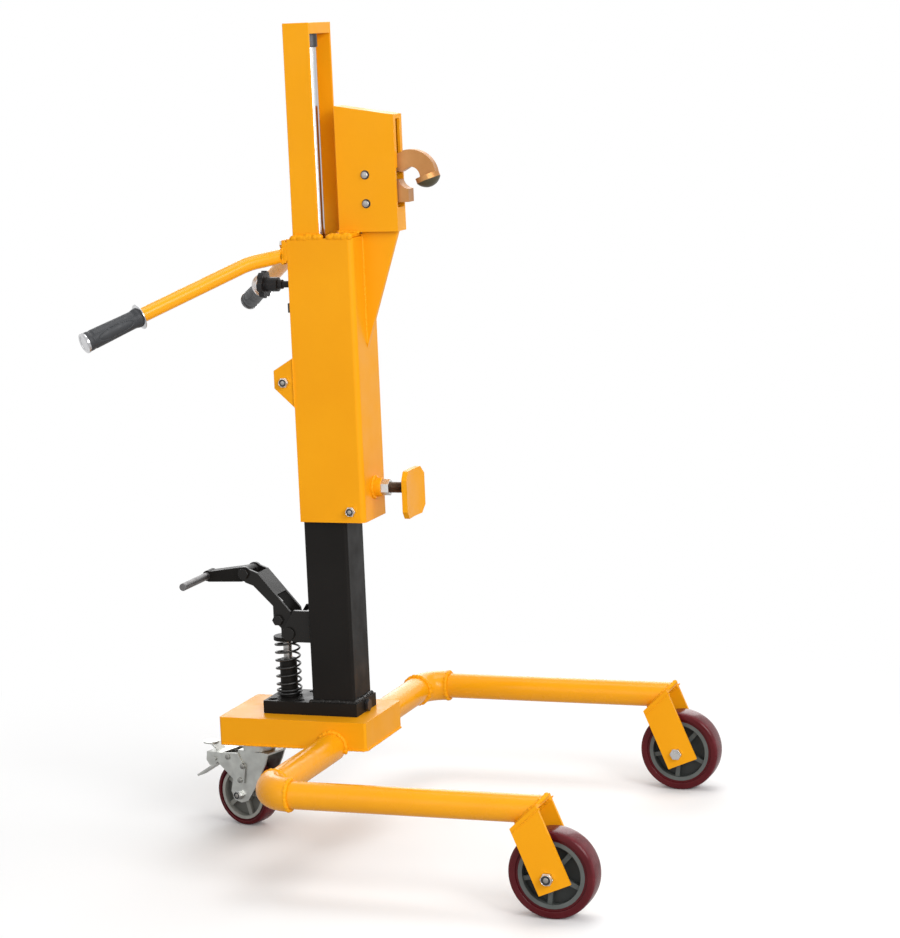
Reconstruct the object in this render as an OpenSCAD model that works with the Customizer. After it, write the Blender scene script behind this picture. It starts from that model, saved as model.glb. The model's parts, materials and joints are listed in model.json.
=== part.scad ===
// Hydraulic lifting dolly: a three-wheeled base with two forward legs, a black column with a foot pump,
// and a lifting carriage with a beak clamp, a support pad and two splayed handles.
// Millimetres. +X points forwards to the load, +Z up, and the right-hand side is at -Y.

/* [Base] */
// Length of the base box from front to back
base_l = 290; // [260:1:320]
// Width of the base box
base_w = 180; // [160:1:210]
// Height of the base box
base_h = 52; // [46:1:60]
// Sheet thickness of the base box and its floor
base_t = 6; // [4:0.5:8]
// Reach of the base box behind the mast axis
base_back = 210; // [200:1:225]
// Radius of the folded edges of the base box
base_r = 5; // [2:0.5:8]

/* [Legs] */
// Outside diameter of the leg tubes
leg_d = 48; // [42:1:52]
// Wall of the leg tubes
leg_t = 4; // [3:0.5:6]
// Outside diameter of the cross tubes
cross_d = 52; // [48:1:54]
// Place of the cross tubes ahead of the mast axis
cross_x = 13; // [6:1:30]
// Height of the leg tubes' axis above the underside of the base
leg_rise = 5; // [0:1:12]
// Outside diameter of the elbows
elbow_d = 58; // [55:1:62]
// Centre-line radius of the elbows
elbow_r = 49; // [44:1:60]

/* [Front wheels] */
// Distance between the middles of the two front wheels
track = 808; // [740:2:860]
// Place of the front axle ahead of the mast axis
wheel_x = 533; // [500:1:570]
// Diameter of a front wheel
wheel_d = 152; // [144:2:168]
// Width of a front wheel
wheel_w = 44; // [36:1:50]
// Thickness of the tyre on a front wheel
tyre_t = 18; // [12:1:24]
// Diameter of the front axle bolts
axle_d = 12; // [10:1:16]
// Side gap between a wheel and its fork
wheel_gap = 11; // [6:0.5:13]
// Plate thickness of the front forks
fork_t = 6; // [4:0.5:8]
// Width of a fork plate
fork_w = 60; // [52:1:70]
// Backward lean of the front forks in degrees
fork_lean = 22.5; // [10:0.5:35]
// Length of a fork plate above the axle, on its middle line
fork_up = 110; // [106:1:125]
// Length of a fork plate below the axle
fork_down = 23; // [18:1:30]

/* [Caster] */
// Height from the floor to the underside of the base
caster_h = 177; // [170:1:190]
// Diameter of the caster wheel
caster_d = 122; // [115:1:126]
// Width of the caster wheel
caster_w = 38; // [30:1:44]
// Distance of the wheel's axle behind the swivel axis
caster_trail = 32; // [26:1:36]
// Distance of the swivel axis behind the mast axis
caster_back = 172; // [160:1:180]
// Turn of the caster from straight ahead, in degrees
caster_turn = 16; // [0:1:40]
// Plate thickness of the caster fork
caster_t = 3.5; // [2.5:0.5:5]

/* [Column and pump] */
// Width of the square column
column_w = 84; // [78:1:86]
// Wall of the column
column_t = 5; // [4:0.5:6]
// Height of the column's top above the floor
column_top = 868; // [862:1:890]
// Length of the pump block
block_l = 185; // [178:1:200]
// Width of the pump block
block_w = 98; // [94:1:116]
// Height of the pump block
block_h = 24; // [18:1:30]
// Reach of the pump block behind the mast axis
block_back = 137; // [133:1:145]
// Distance of the pump axis behind the mast axis
pump_back = 104; // [100:1:108]
// Diameter of the pump barrel
barrel_d = 32; // [28:1:34]
// Height of the pump barrel
barrel_h = 70; // [60:1:74]
// Diameter of the pump piston
piston_d = 16; // [12:1:20]
// Mean diameter of the pump spring
spring_d = 44; // [42:0.5:46]
// Wire diameter of the pump spring
spring_wire = 4; // [3:0.5:5]
// Height of the pump spring
spring_h = 106; // [100:1:108]
// Turns of the pump spring
spring_turns = 8; // [6:1:9]
// Place of the pedal lever's pivot behind the mast axis
pivot_back = 85; // [82:1:88]
// Height of the pedal lever's pivot above the floor
pivot_z = 378; // [376:1:384]
// Outside width of the pedal lever
lever_w = 53; // [50:1:58]
// Plate thickness of the pedal lever
lever_t = 6; // [5:0.5:7]
// Length of the foot bar outside its arm
pedal_l = 106; // [80:1:130]
// Diameter of the foot bar
pedal_d = 14; // [12:1:16]

/* [Lift] */
// Travel of the carriage below its raised rest
lift = 285; // [250:1:300]
// Diameter of the lift rod
rod_d = 22; // [20:1:30]
// Outside diameter of the lift cylinder
cyl_d = 56; // [52:1:62]
// Wall of the lift cylinder
cyl_t = 5; // [4:0.5:7]

/* [Carriage] */
// Width of the sleeve
sleeve_w = 112; // [108:1:120]
// Reach of the sleeve behind the mast axis
sleeve_back = 41; // [38:0.5:42]
// Depth of the sleeve from front to back
sleeve_l = 125.5; // [124:0.5:132]
// Height of the sleeve
sleeve_h = 513; // [490:1:540]
// Wall of the sleeve
sleeve_t = 5; // [4:0.5:5.5]
// Height of the raised sleeve's lower end above the floor
sleeve_z = 591; // [580:1:600]
// Outside radius of the sleeve's front corners
sleeve_r = 10; // [6:1:14]
// Diameter of the guide rollers
roller_d = 33; // [30:0.5:34]
// Height of the rear roller above the sleeve's lower end
rear_roller_up = 255; // [240:1:260]
// Height of the front roller above the sleeve's lower end
front_roller_up = 21; // [20:1:40]
// Width of the upper channel
channel_w = 104; // [102:1:106]
// Depth of the upper channel
channel_l = 50; // [44:1:56]
// Height of the upper channel
channel_h = 380; // [340:1:420]
// Reach of the upper channel behind the mast axis
channel_back = 30; // [26:1:34]

/* [Clamp head] */
// Width of the clamp head
head_w = 42; // [40:1:50]
// Plate thickness of the clamp head
head_t = 5; // [4:0.5:6]
// Place of the head's back plate ahead of the mast axis
head_x = 48; // [46:1:52]
// Length of the clamp head
head_l = 112; // [106:1:124]
// Height of the clamp head at its back
head_h = 224; // [210:1:240]
// Fall of the head's top towards the front
head_fall = 18; // [8:1:26]
// Thickness of the hook
hook_t = 17; // [14:1:20]
// Outer radius of the hook's beak
hook_r = 48.5; // [46:0.5:52]
// Thickness of the lower jaw
jaw_t = 26; // [20:1:28]
// Diameter of the head's pivot bolts
bolt_d = 12; // [10:0.5:14]

/* [Support pad] */
// Height of the support pad's stud above the sleeve's lower end
pad_up = 57; // [48:1:70]
// Width of the support pad
pad_w = 92; // [70:1:110]
// Height of the support pad
pad_h = 86; // [70:1:100]
// Thickness of the support pad
pad_t = 10; // [8:1:12]
// Inside radius of the support pad
pad_r = 292; // [250:1:320]
// Diameter of the support pad's stud
stud_d = 20; // [16:1:24]

/* [Handles] */
// Diameter of the handle tubes
handle_d = 26; // [24:1:30]
// Splay of the handles from straight back, in degrees
handle_splay = 51; // [42:1:56]
// Length of a handle's first run
handle_run = 55; // [45:1:70]
// Length of a handle's second run, with its grip
handle_reach = 324; // [290:1:345]
// Fall of a handle's first run in degrees
handle_fall = 7; // [2:1:12]
// Further fall of a handle's second run in degrees
handle_bend = 12; // [6:1:18]
// Length of a grip
grip_l = 107; // [90:1:125]
// Diameter of a grip
grip_d = 33; // [31:1:37]
// Diameter of the star knob
knob_d = 50; // [44:1:56]

/* [Hidden] */
$fn = 64;

// Finishes
yellow = "#f5a81c";
black = "#24211f";
zinc = "#c4c6c8";
chrome = "#e6e8ea";
bronze = "#b98a52";
maroon = "#6a1f2b";
grey = "#5d625f";
pale_grey = "#a7a59c";
rubber = "#39393b";

// Fits: running clearance on a radius, clearance between flat neighbours, and a cut's overrun
run_gap = 0.05;
side_gap = 0.5;
over = 1;

// Fasteners: hexagon across its flats and height, as shares of the thread
hex_ratio = 1.65;
hex_high = 0.65;
hole_gap = 0.2;

// Base and legs
base_z = caster_h;
base_front = base_l - base_back;
base_top = base_z + base_h;
leg_z = base_z + leg_rise;
leg_y = track / 2;
elbow_x = cross_x + elbow_r;
elbow_y = leg_y - elbow_r;

// Front wheels and forks
axle_z = wheel_d / 2;
hub_d = wheel_d - 2 * tyre_t;
hub_rim = 7;
hub_boss_d = axle_d + 26;
hub_web = 8;
rib_t = 8;
hub_ribs = 5;
hub_turn = 25;
bearing_d = axle_d + 16;
bearing_w = 10;
fork_gap = wheel_w + 2 * wheel_gap;
fork_out = fork_gap / 2 + fork_t;
fork_fore = 2.5;
fork_slope = 20;
fork_mouth = fork_lean + fork_slope;
// A point on the fork's sloped top, seen from the side, and where the leg's axis meets it
fork_peak = [wheel_x - fork_up * sin(fork_lean) + fork_fore * cos(fork_lean),
    axle_z + fork_up * cos(fork_lean) + fork_fore * sin(fork_lean)];

// Caster
caster_x = -caster_back;
caster_z = caster_d / 2;
caster_tyre_t = 12;
caster_hub_d = caster_d - 2 * caster_tyre_t;
caster_gap = 4;
caster_in = caster_w / 2 + caster_gap;
caster_out = caster_in + caster_t;
top_plate_t = 5;
top_plate_l = 76;
top_plate_w = 105;
plate_bolt_l = 40;
plate_bolt_w = 80;
race_d = 60;
race_h = 24;
crown_z = caster_h - top_plate_t - race_h;
kingpin_d = 14;
race_gap = 0.5;
brake_x = -86;
brake_z = 125;
brake_pin_d = 8;
caster_axle_d = 10;

// Column, pump and lift
block_z = base_top;
block_top = block_z + block_h;
block_front = block_l - block_back;
column_in = column_w / 2 - column_t;
column_r = 6;
pump_x = -pump_back;
pivot_x = -pivot_back;
pivot_d = 12;
roller_pin_x = pivot_x - 23;
roller_pin_z = pivot_z + 23;
press_d = 24;
press_w = lever_w - 2 * lever_t - 4 * side_gap;
cap_d = 50;
cap_t = 8;
cap_z = block_top + spring_h;
cap_boss_d = 20;
cap_gap = 0.3;
cap_boss_top = roller_pin_z - press_d / 2 - cap_gap;
bracket_t = 8;
bracket_in = lever_w / 2 + side_gap;
bracket_out = bracket_in + bracket_t;
bracket_drop = 16;
bracket_rise = 43;
bracket_low = pivot_z - bracket_drop;
bracket_high = pivot_z + bracket_rise;
fold_in = 87;
fold_rise = 108;
fold_x = pivot_x - fold_in;
fold_z = pivot_z + fold_rise;
fold_d = 12;
lever_h = 24;
lever_rise = 39;
knee_in = 26;
heel_in = 32.5;
heel_high = 49;
heel_low = 27;
pivot_boss_d = 18;
fold_boss_d = 26;
roller_boss_d = 20;
pivot_head_d = 24;
arm_w = 26;
arm_boss_w = lever_w - 2 * lever_t - 2 * side_gap;
foot_in = 82;
foot_fall = 9;
foot_x = fold_x - foot_in;
foot_z = fold_z - foot_fall;
cyl_bore = cyl_d - 2 * cyl_t;
cyl_foot = 12;
gland_h = 30;
piston_h = 30;

// Carriage
sleeve_top_z = sleeve_z + sleeve_h;
sleeve_front = sleeve_l - sleeve_back;
sleeve_in = sleeve_w / 2 - sleeve_t;
roller_gap = 0.4;
guide_w = 56;
guide_h = 90;
guide_low = 12;
guide_high = 150;
roller_l = 2 * sleeve_in - 2 * side_gap;
rear_roller_x = -column_w / 2 - roller_d / 2 - roller_gap;
rear_roller_z = sleeve_z + rear_roller_up;
front_roller_x = column_w / 2 + roller_d / 2 + roller_gap;
front_roller_z = sleeve_z + front_roller_up;
roller_bolt_d = 10;
ear_back = -rear_roller_x + 20;
channel_t = 5;
channel_front = channel_l - channel_back;
channel_z = sleeve_top_z;
channel_top = channel_z + channel_h;
// The channel's back is cut away below, where the column passes when the carriage is down
notch_gap = 10;
notch_h = column_top - (sleeve_top_z - lift) + notch_gap;
cap_plate_t = 20;
rod_top = channel_top - cap_plate_t;
collar_h = 24;
rod_low = column_top - gland_h - 230;
top_t = 8;
top_back = column_w / 2 + 4;
top_inset = 2.5;

// Clamp head
head_z = sleeve_top_z + top_t;
head_front = head_x + head_l;
hook_pin_x = head_x + 54;
hook_pin_z = head_z + 101;
jaw_pin_z = head_z + 50;
beak_x = head_front + 23;
beak_z = head_z + 95;
beak_bar = 30.5;
tip_d = 44;
tip_t = 9;
tip_dome = 13;
tip_rise = 19.5;
tip_x = beak_x + 31.5;
tip_z = beak_z - 6;
slot_gap = 1;
slot_top = head_z + 198;
cut_w = jaw_t + 6;
cut_low = head_z + 42;
cut_high = head_z + 112;
jaw_low = head_z + 51;
jaw_high = head_z + 77;
jaw_reach = 20;

// Support pad
pad_z = sleeve_z + pad_up;
boss_d = stud_d + 14;
boss_l = 16;
nut_l = 15;
nut_d = stud_d * 1.3;
pad_x = sleeve_front + 66;
pad_chamfer = 14;
stud_in = sleeve_front - sleeve_t - 14;

// Handles
plate_t = 8;
cross_drop = 2;
cross_h = 41;
cross_high = sleeve_top_z - cross_drop;
cross_low = cross_high - cross_h;
strap_w = 60;
strap_h = 75;
strap_low = cross_low - strap_h;
plate_gap = column_w / 2 + 1;
bracket_x = -plate_gap - plate_t;
root_y = 46;
root_drop = 30;
root_z = sleeve_top_z - root_drop;
plate_bolt_d = 8;
plate_bolt_z = cross_high - plate_bolt_d;
handle_t = 3;
handle_r = 160;
collar_l = 6;
collar_d = grip_d + 10;
cap_l = 5;
cap_disc_d = grip_d + 4;
knob_drop = 86;
knob_z = sleeve_top_z - knob_drop;
knob_gap = 33;
knob_x = bracket_x - knob_gap;
knob_stud_d = 12;
handle_tip = handle_reach + cap_l;

// Frame: the origin is under the middle of the whole machine, so the mast stands behind it.
// The handles' end caps reach furthest back and the front wheels furthest forward.
grip_fall = handle_fall + handle_bend;
arc_run = handle_r * (sin(grip_fall) - sin(handle_fall));
handle_out = handle_run * cos(handle_fall) + arc_run + handle_tip * cos(grip_fall);
cap_tilt = sqrt(1 - pow(cos(grip_fall) * cos(handle_splay), 2));
back_reach = -bracket_x + handle_out * cos(handle_splay) + cap_disc_d / 2 * cap_tilt;
front_reach = wheel_x + wheel_d / 2;
mast_x = (back_reach - front_reach) / 2;

// Shared shapes
module place(finish) {
    color(finish) translate([mast_x, 0, 0]) children();
}

module block(low, high) {
    translate(low) cube(high - low);
}

module bar_x(d, x0, x1) {
    translate([x0, 0, 0]) rotate([0, 90, 0]) cylinder(d = d, h = x1 - x0);
}

module bar_y(d, y0, y1) {
    translate([0, y0, 0]) rotate([-90, 0, 0]) cylinder(d = d, h = y1 - y0);
}

module bar_z(d, z0, z1) {
    translate([0, 0, z0]) cylinder(d = d, h = z1 - z0);
}

// A flat plate drawn in the side view, x forwards and z up, standing between two values of y
module plate_y(points, y0, y1) {
    translate([0, y1, 0]) rotate([90, 0, 0]) linear_extrude(y1 - y0) polygon(points);
}

module both_sides() {
    children();
    mirror([0, 1, 0]) children();
}

// A straight post with four round corners
module post(x0, x1, w, z0, z1, r) {
    block([x0 + r, -w / 2, z0], [x1 - r, w / 2, z1]);
    block([x0, -w / 2 + r, z0], [x1, w / 2 - r, z1]);
    for (x = [x0 + r, x1 - r]) {
        for (y = [-w / 2 + r, w / 2 - r]) {
            translate([x, y, 0]) bar_z(2 * r, z0, z1);
        }
    }
}

// A post whose two front corners are round
module front_post(x0, x1, w, z0, z1, r) {
    block([x0, -w / 2, z0], [x1 - r, w / 2, z1]);
    block([x1 - r - over, -w / 2 + r, z0], [x1, w / 2 - r, z1]);
    for (y = [-w / 2 + r, w / 2 - r]) {
        translate([x1 - r, y, 0]) bar_z(2 * r, z0, z1);
    }
}

// A hexagon prism along z, given by its thread
module hex(d, h) {
    cylinder(d = d * hex_ratio / cos(30), h = h, $fn = 6);
}

module hex_head(d) {
    hex(d, d * hex_high);
}

module hex_nut(d) {
    difference() {
        hex(d, d * hex_high);
        translate([0, 0, -over]) cylinder(d = d, h = d * hex_high + 2 * over);
    }
}

// A bolt across the machine, its head on the left and its nut on the right, over a width of grip
module cross_bolt(d, half) {
    union() {
        bar_y(d, -half - d * (hex_high + 0.2), half);
        translate([0, half, 0]) rotate([-90, 0, 0]) hex_head(d);
    }
    translate([0, -half, 0]) rotate([90, 0, 0]) hex_nut(d);
}

// Base
module base_box() {
    place(yellow) difference() {
        post(-base_back, base_front, base_w, base_z, base_top, base_r);
        block([-base_back + base_t, -base_w / 2 + base_t, base_z - over],
            [base_front - base_t, base_w / 2 - base_t, base_top - base_t]);
        block_bolts(base_top - base_t - over, base_top + over, hole_gap);
    }
}

module base_floor() {
    place(yellow) difference() {
        block([-base_back + base_t, -base_w / 2 + base_t, base_z],
            [base_front - base_t, base_w / 2 - base_t, base_z + base_t]);
        caster_bolts(base_z - over, base_z + base_t + over, hole_gap);
    }
}

screw_d = 10;
screw_inset = 14;
screw_fore = 28;
screw_head_d = 18;
screw_head_h = 10;

// The pump block's four screws, as plain shanks
module block_bolts(z0, z1, gap) {
    for (x = [-block_back + screw_inset, -column_w / 2 - screw_fore]) {
        for (y = [-block_w / 2 + screw_inset, block_w / 2 - screw_inset]) {
            translate([x, y, 0]) bar_z(screw_d + 2 * gap, z0, z1);
        }
    }
}

// The caster plate's four bolts, as plain shanks
module caster_bolts(z0, z1, gap) {
    for (x = [-plate_bolt_l / 2, plate_bolt_l / 2]) {
        for (y = [-plate_bolt_w / 2, plate_bolt_w / 2]) {
            translate([caster_x + x, y, 0]) bar_z(screw_d + 2 * gap, z0, z1);
        }
    }
}

module block_screws() {
    head_z0 = block_top - screw_head_h;
    place(black) {
        for (x = [-block_back + screw_inset, -column_w / 2 - screw_fore]) {
            for (y = [-block_w / 2 + screw_inset, block_w / 2 - screw_inset]) {
                translate([x, y, 0]) {
                    bar_z(screw_d, base_top - base_t - screw_d, head_z0);
                    difference() {
                        bar_z(screw_head_d - 1, head_z0, head_z0 + screw_d - 1);
                        translate([0, 0, head_z0 + 4]) cylinder(d = screw_d, h = screw_d, $fn = 6);
                    }
                }
            }
        }
    }
}

module base_bolts() {
    place(zinc) {
        for (x = [-plate_bolt_l / 2, plate_bolt_l / 2]) {
            for (y = [-plate_bolt_w / 2, plate_bolt_w / 2]) {
                translate([caster_x + x, y, 0]) {
                    bar_z(screw_d, base_z - top_plate_t, base_z + base_t);
                    translate([0, 0, base_z - top_plate_t - 6]) hex(screw_d, 6);
                    translate([0, 0, base_z + base_t]) hex_head(screw_d);
                }
            }
        }
    }
}

module cross_tubes() {
    place(yellow) both_sides() {
        translate([cross_x, 0, leg_z]) difference() {
            bar_y(cross_d, base_w / 2, elbow_y);
            bar_y(leg_d - 2 * leg_t, base_w / 2 - over, elbow_y + over);
        }
        translate([elbow_x, elbow_y, leg_z]) rotate([0, 0, 90]) rotate_extrude(angle = 90)
            translate([elbow_r, 0]) difference() {
                circle(d = elbow_d);
                circle(d = leg_d - 2 * leg_t);
            }
    }
}

// The right leg tube, cut to the slope of its fork's bridge
module leg() {
    difference() {
        translate([0, -leg_y, leg_z]) difference() {
            bar_x(leg_d, elbow_x, wheel_x);
            bar_x(leg_d - 2 * leg_t, elbow_x - over, wheel_x + over);
        }
        translate([fork_peak[0], -leg_y, fork_peak[1]]) rotate([0, -fork_mouth, 0])
            block([-wheel_d, -leg_d, -2 * wheel_d], [2 * wheel_d, leg_d, 0]);
    }
}

module right_leg() {
    place(yellow) leg();
}

module left_leg() {
    place(yellow) mirror([0, 1, 0]) leg();
}

// The right fork: two leaning plates and the bridge between their tops, bent from one strip
module fork() {
    half = fork_w / 2;
    rise = half * tan(fork_slope);
    side = [[-half, -fork_down], [half, -fork_down], [half, fork_up + rise], [-half, fork_up - rise]];
    bend = fork_t / cos(fork_slope);
    bridge = [[half, fork_up + rise], [-half, fork_up - rise], [-half, fork_up - rise - bend],
        [half, fork_up + rise - bend]];
    translate([wheel_x, -leg_y, axle_z]) difference() {
        rotate([0, -fork_lean, 0]) translate([fork_fore, 0, 0]) union() {
            plate_y(side, fork_gap / 2, fork_out);
            plate_y(side, -fork_out, -fork_gap / 2);
            plate_y(bridge, -fork_out, fork_out);
        }
        bar_y(axle_d + 2 * hole_gap, -fork_out - over, fork_out + over);
    }
}

module right_fork() {
    place(yellow) fork();
}

module left_fork() {
    place(yellow) mirror([0, 1, 0]) fork();
}

module front_axles() {
    place(zinc) both_sides() translate([wheel_x, -leg_y, axle_z]) {
        cross_bolt(axle_d, fork_out);
        for (s = [0, 1]) {
            mirror([0, s, 0]) spacer(axle_d, wheel_w / 2 + side_gap, fork_gap / 2);
        }
    }
}

// A spacer tube along y on a bolt
module spacer(d, y0, y1) {
    difference() {
        bar_y(d + 8, y0, y1);
        bar_y(d, y0 - over, y1 + over);
    }
}

// A tyre about the y axis, with round shoulders
module tyre_ring(d, w, t, shoulder) {
    rotate([-90, 0, 0]) rotate_extrude() {
        translate([d / 2 - t, -w / 2]) square([t - shoulder, w]);
        translate([d / 2 - t, -w / 2 + shoulder]) square([t, w - 2 * shoulder]);
        for (s = [-1, 1]) {
            translate([d / 2 - shoulder, s * (w / 2 - shoulder)]) circle(r = shoulder);
        }
    }
}

// A wheel body about the y axis: rim, web, boss and ribs, with a bore
module wheel_body(d, w, rim, boss_d, bore, web, ribs, turn) {
    difference() {
        union() {
            difference() {
                bar_y(d, -w / 2, w / 2);
                bar_y(d - 2 * rim, -w / 2 - over, w / 2 + over);
            }
            bar_y(d - rim, -web / 2, web / 2);
            bar_y(boss_d, -w / 2, w / 2);
            for (k = [0 : ribs - 1]) {
                rotate([0, turn + k * 360 / ribs, 0])
                    block([boss_d / 2 - 2, -w / 2 + 6, -rib_t / 2], [d / 2 - rim / 2, w / 2 - 6, rib_t / 2]);
            }
        }
        bar_y(bore, -w / 2 - over, w / 2 + over);
    }
}

module tyre() {
    translate([wheel_x, -leg_y, axle_z]) tyre_ring(wheel_d, wheel_w, tyre_t, 6);
}

module hub() {
    translate([wheel_x, -leg_y, axle_z])
        wheel_body(hub_d, wheel_w - 4, hub_rim, hub_boss_d, bearing_d, hub_web, hub_ribs, hub_turn);
}

// Two bearings pressed into the boss, each a plain ring
module bearings() {
    edge = wheel_w / 2;
    translate([wheel_x, -leg_y, axle_z]) for (s = [-1, 1]) {
        translate([0, s * (edge - bearing_w / 2), 0]) difference() {
            bar_y(bearing_d, -bearing_w / 2, bearing_w / 2);
            bar_y(axle_d + 2 * run_gap, -bearing_w, bearing_w);
        }
    }
}

module right_tyre() {
    place(maroon) tyre();
}

module right_hub() {
    place(grey) hub();
}

module right_bearings() {
    place(zinc) bearings();
}

module left_tyre() {
    place(maroon) mirror([0, 1, 0]) tyre();
}

module left_hub() {
    place(grey) mirror([0, 1, 0]) hub();
}

module left_bearings() {
    place(zinc) mirror([0, 1, 0]) bearings();
}

// Pump block and column
valve_d = 14;
valve_l = 16;
valve_z = block_top - block_h / 2;

module pump_block() {
    place(black) difference() {
        block([-block_back, -block_w / 2, block_z], [block_front, block_w / 2, block_top]);
        block_bolts(block_z - over, block_top + over, hole_gap);
        for (x = [-block_back + screw_inset, -column_w / 2 - screw_fore]) {
            for (y = [-block_w / 2 + screw_inset, block_w / 2 - screw_inset]) {
                translate([x, y, 0]) bar_z(screw_head_d, block_top - screw_head_h, block_top + over);
            }
        }
        translate([0, 0, valve_z]) bar_x(valve_d + 2 * run_gap, block_front - valve_l, block_front + over);
    }
}

module release_valve() {
    place(zinc) translate([0, 0, valve_z]) {
        bar_x(valve_d, block_front - valve_l + over, block_front + side_gap);
        translate([block_front + side_gap, 0, 0]) rotate([0, 90, 0]) hex(valve_d - 2, 6);
    }
}

module column() {
    half = column_w / 2;
    place(black) difference() {
        post(-half, half, column_w, block_top, column_top, column_r);
        block([-column_in, -column_in, block_top - over], [column_in, column_in, column_top + over]);
    }
}

module cylinder_tube() {
    place(zinc) difference() {
        union() {
            bar_z(cyl_d, block_top, column_top - gland_h);
            bar_z(2 * column_in - 2 * run_gap, column_top - gland_h, column_top - 2);
        }
        bar_z(cyl_bore, block_top + cyl_foot, column_top - gland_h);
        bar_z(rod_d + 2 * run_gap, column_top - gland_h - over, column_top + over);
    }
}

module pump_barrel() {
    place(black) translate([pump_x, 0, 0]) difference() {
        union() {
            bar_z(barrel_d, block_top, block_top + barrel_h);
            bar_z(spring_d - spring_wire - 3, block_top, block_top + 6);
        }
        bar_z(piston_d + 2 * run_gap, block_top + 6, block_top + barrel_h + over);
    }
}

module pump_bracket() {
    back = -column_w / 2;
    cheek = [[back, bracket_low], [back, bracket_high], [pivot_x + 11, bracket_high],
        [pivot_x - 12, pivot_z + 6], [pivot_x - 8, pivot_z - 10], [pivot_x + 8, bracket_low]];
    place(black) difference() {
        union() {
            for (s = [-1, 1]) {
                mid = s * (bracket_in + bracket_out) / 2;
                plate_y(cheek, mid - bracket_t / 2, mid + bracket_t / 2);
                translate([pivot_x, mid, pivot_z]) bar_y(28, -bracket_t / 2, bracket_t / 2);
            }
            block([back - bracket_t, -bracket_out, bracket_low], [back, bracket_out, bracket_high]);
        }
        translate([pivot_x, 0, pivot_z]) bar_y(pivot_d + 2 * run_gap, -bracket_out - over, bracket_out + over);
    }
}

// Pedal lever: two cranked side plates with a web across the top
lever_out = lever_w / 2;
lever_in = lever_out - lever_t;
web_end = 0.57;

module pump_lever() {
    low = [pivot_x + 1, pivot_z + lever_rise];
    knee = [fold_x + knee_in, fold_z + 2];
    side = [low, knee, [fold_x, fold_z + lever_h / 2], [fold_x - lever_h / 2, fold_z - lever_h / 6],
        [fold_x + 2, fold_z - lever_h * 0.7], [knee[0] - lever_h * 0.38, knee[1] - lever_h],
        [pivot_x - heel_in, pivot_z + heel_high], [pivot_x - heel_in, pivot_z + heel_low],
        [pivot_x - lever_h, pivot_z + lever_h * 0.55], [pivot_x, pivot_z - pivot_boss_d / 2],
        [pivot_x + pivot_boss_d / 2, pivot_z]];
    run = low - knee;
    stop = knee + web_end * run;
    down = [-lever_t * 0.75, -lever_t * 0.66];
    web = [knee, stop, stop + down, knee + down];
    place(black) difference() {
        union() {
            plate_y(side, lever_in, lever_out);
            plate_y(side, -lever_out, -lever_in);
            plate_y(web, -lever_out, lever_out);
            for (s = [-1, 1]) {
                mid = s * (lever_in + lever_out) / 2;
                translate([pivot_x, mid, pivot_z]) bar_y(pivot_boss_d, -lever_t / 2, lever_t / 2);
                translate([fold_x, mid, fold_z]) bar_y(fold_boss_d, -lever_t / 2, lever_t / 2);
                translate([roller_pin_x, mid, roller_pin_z]) bar_y(roller_boss_d, -lever_t / 2, lever_t / 2);
            }
        }
        translate([pivot_x, 0, pivot_z]) bar_y(pivot_d, -lever_w, lever_w);
        translate([fold_x, 0, fold_z]) bar_y(fold_d, -lever_w, lever_w);
        translate([roller_pin_x, 0, roller_pin_z]) bar_y(fold_d, -lever_w, lever_w);
    }
}

// The lever's pivot pin, roller pin and fold bolt, each with its heads
module lever_bolts() {
    head_t = 6;
    place(black) {
        translate([pivot_x, 0, pivot_z]) union() {
            bar_y(pivot_d, -bracket_out - side_gap, bracket_out + side_gap);
            bar_y(pivot_head_d, bracket_out + side_gap, bracket_out + side_gap + 4);
            bar_y(pivot_head_d, -bracket_out - side_gap - 4, -bracket_out - side_gap);
        }
        for (pin = [[roller_pin_x, roller_pin_z], [fold_x, fold_z]]) {
            translate([pin[0], 0, pin[1]]) union() {
                bar_y(fold_d, -lever_out, lever_out);
                translate([0, -lever_out, 0]) rotate([90, 0, 0]) hex(fold_d - 1, head_t);
                translate([0, lever_out, 0]) rotate([-90, 0, 0]) hex(fold_d - 1, head_t);
            }
        }
    }
}

module lever_roller() {
    place(zinc) translate([roller_pin_x, 0, roller_pin_z]) difference() {
        bar_y(press_d, -press_w / 2, press_w / 2);
        bar_y(fold_d + 2 * run_gap, -press_w, press_w);
    }
}

// Foot pedal: a tapered folded arm on the lever's fold bolt, with a plain bar to the right
module pedal_arm() {
    wall = 5;
    half = arm_w / 2;
    arm = [[foot_x + 2, foot_z + 8], [fold_x - 6, fold_z + 10], [fold_x, fold_z + 10], [fold_x, fold_z - 15],
        [fold_x - 12, fold_z - 18], [foot_x + 2, foot_z - 11]];
    inside = [[foot_x + 22, foot_z + 5], [fold_x - 8, fold_z + 6], [fold_x + 20, fold_z + 6],
        [fold_x + 20, fold_z - 30], [foot_x + 22, foot_z - 30]];
    place(black) difference() {
        union() {
            plate_y(arm, -half, half);
            translate([fold_x, 0, fold_z]) bar_y(22, -arm_boss_w / 2, arm_boss_w / 2);
            translate([foot_x + 1, 0, foot_z]) bar_y(pedal_d + 6, -half, half);
        }
        plate_y(inside, -half + wall, half - wall);
        translate([fold_x, 0, fold_z]) bar_y(fold_d + 2 * run_gap, -lever_w, lever_w);
        translate([foot_x, 0, foot_z]) bar_y(pedal_d, -lever_w, lever_w);
    }
}

module pedal_bar() {
    place(pale_grey) translate([foot_x, 0, foot_z]) bar_y(pedal_d, -arm_w / 2 - pedal_l, arm_w / 2 + 4);
}

module pump_piston() {
    place(chrome) translate([pump_x, 0, 0]) bar_z(piston_d, block_top + barrel_h - 36, cap_z);
}

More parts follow.
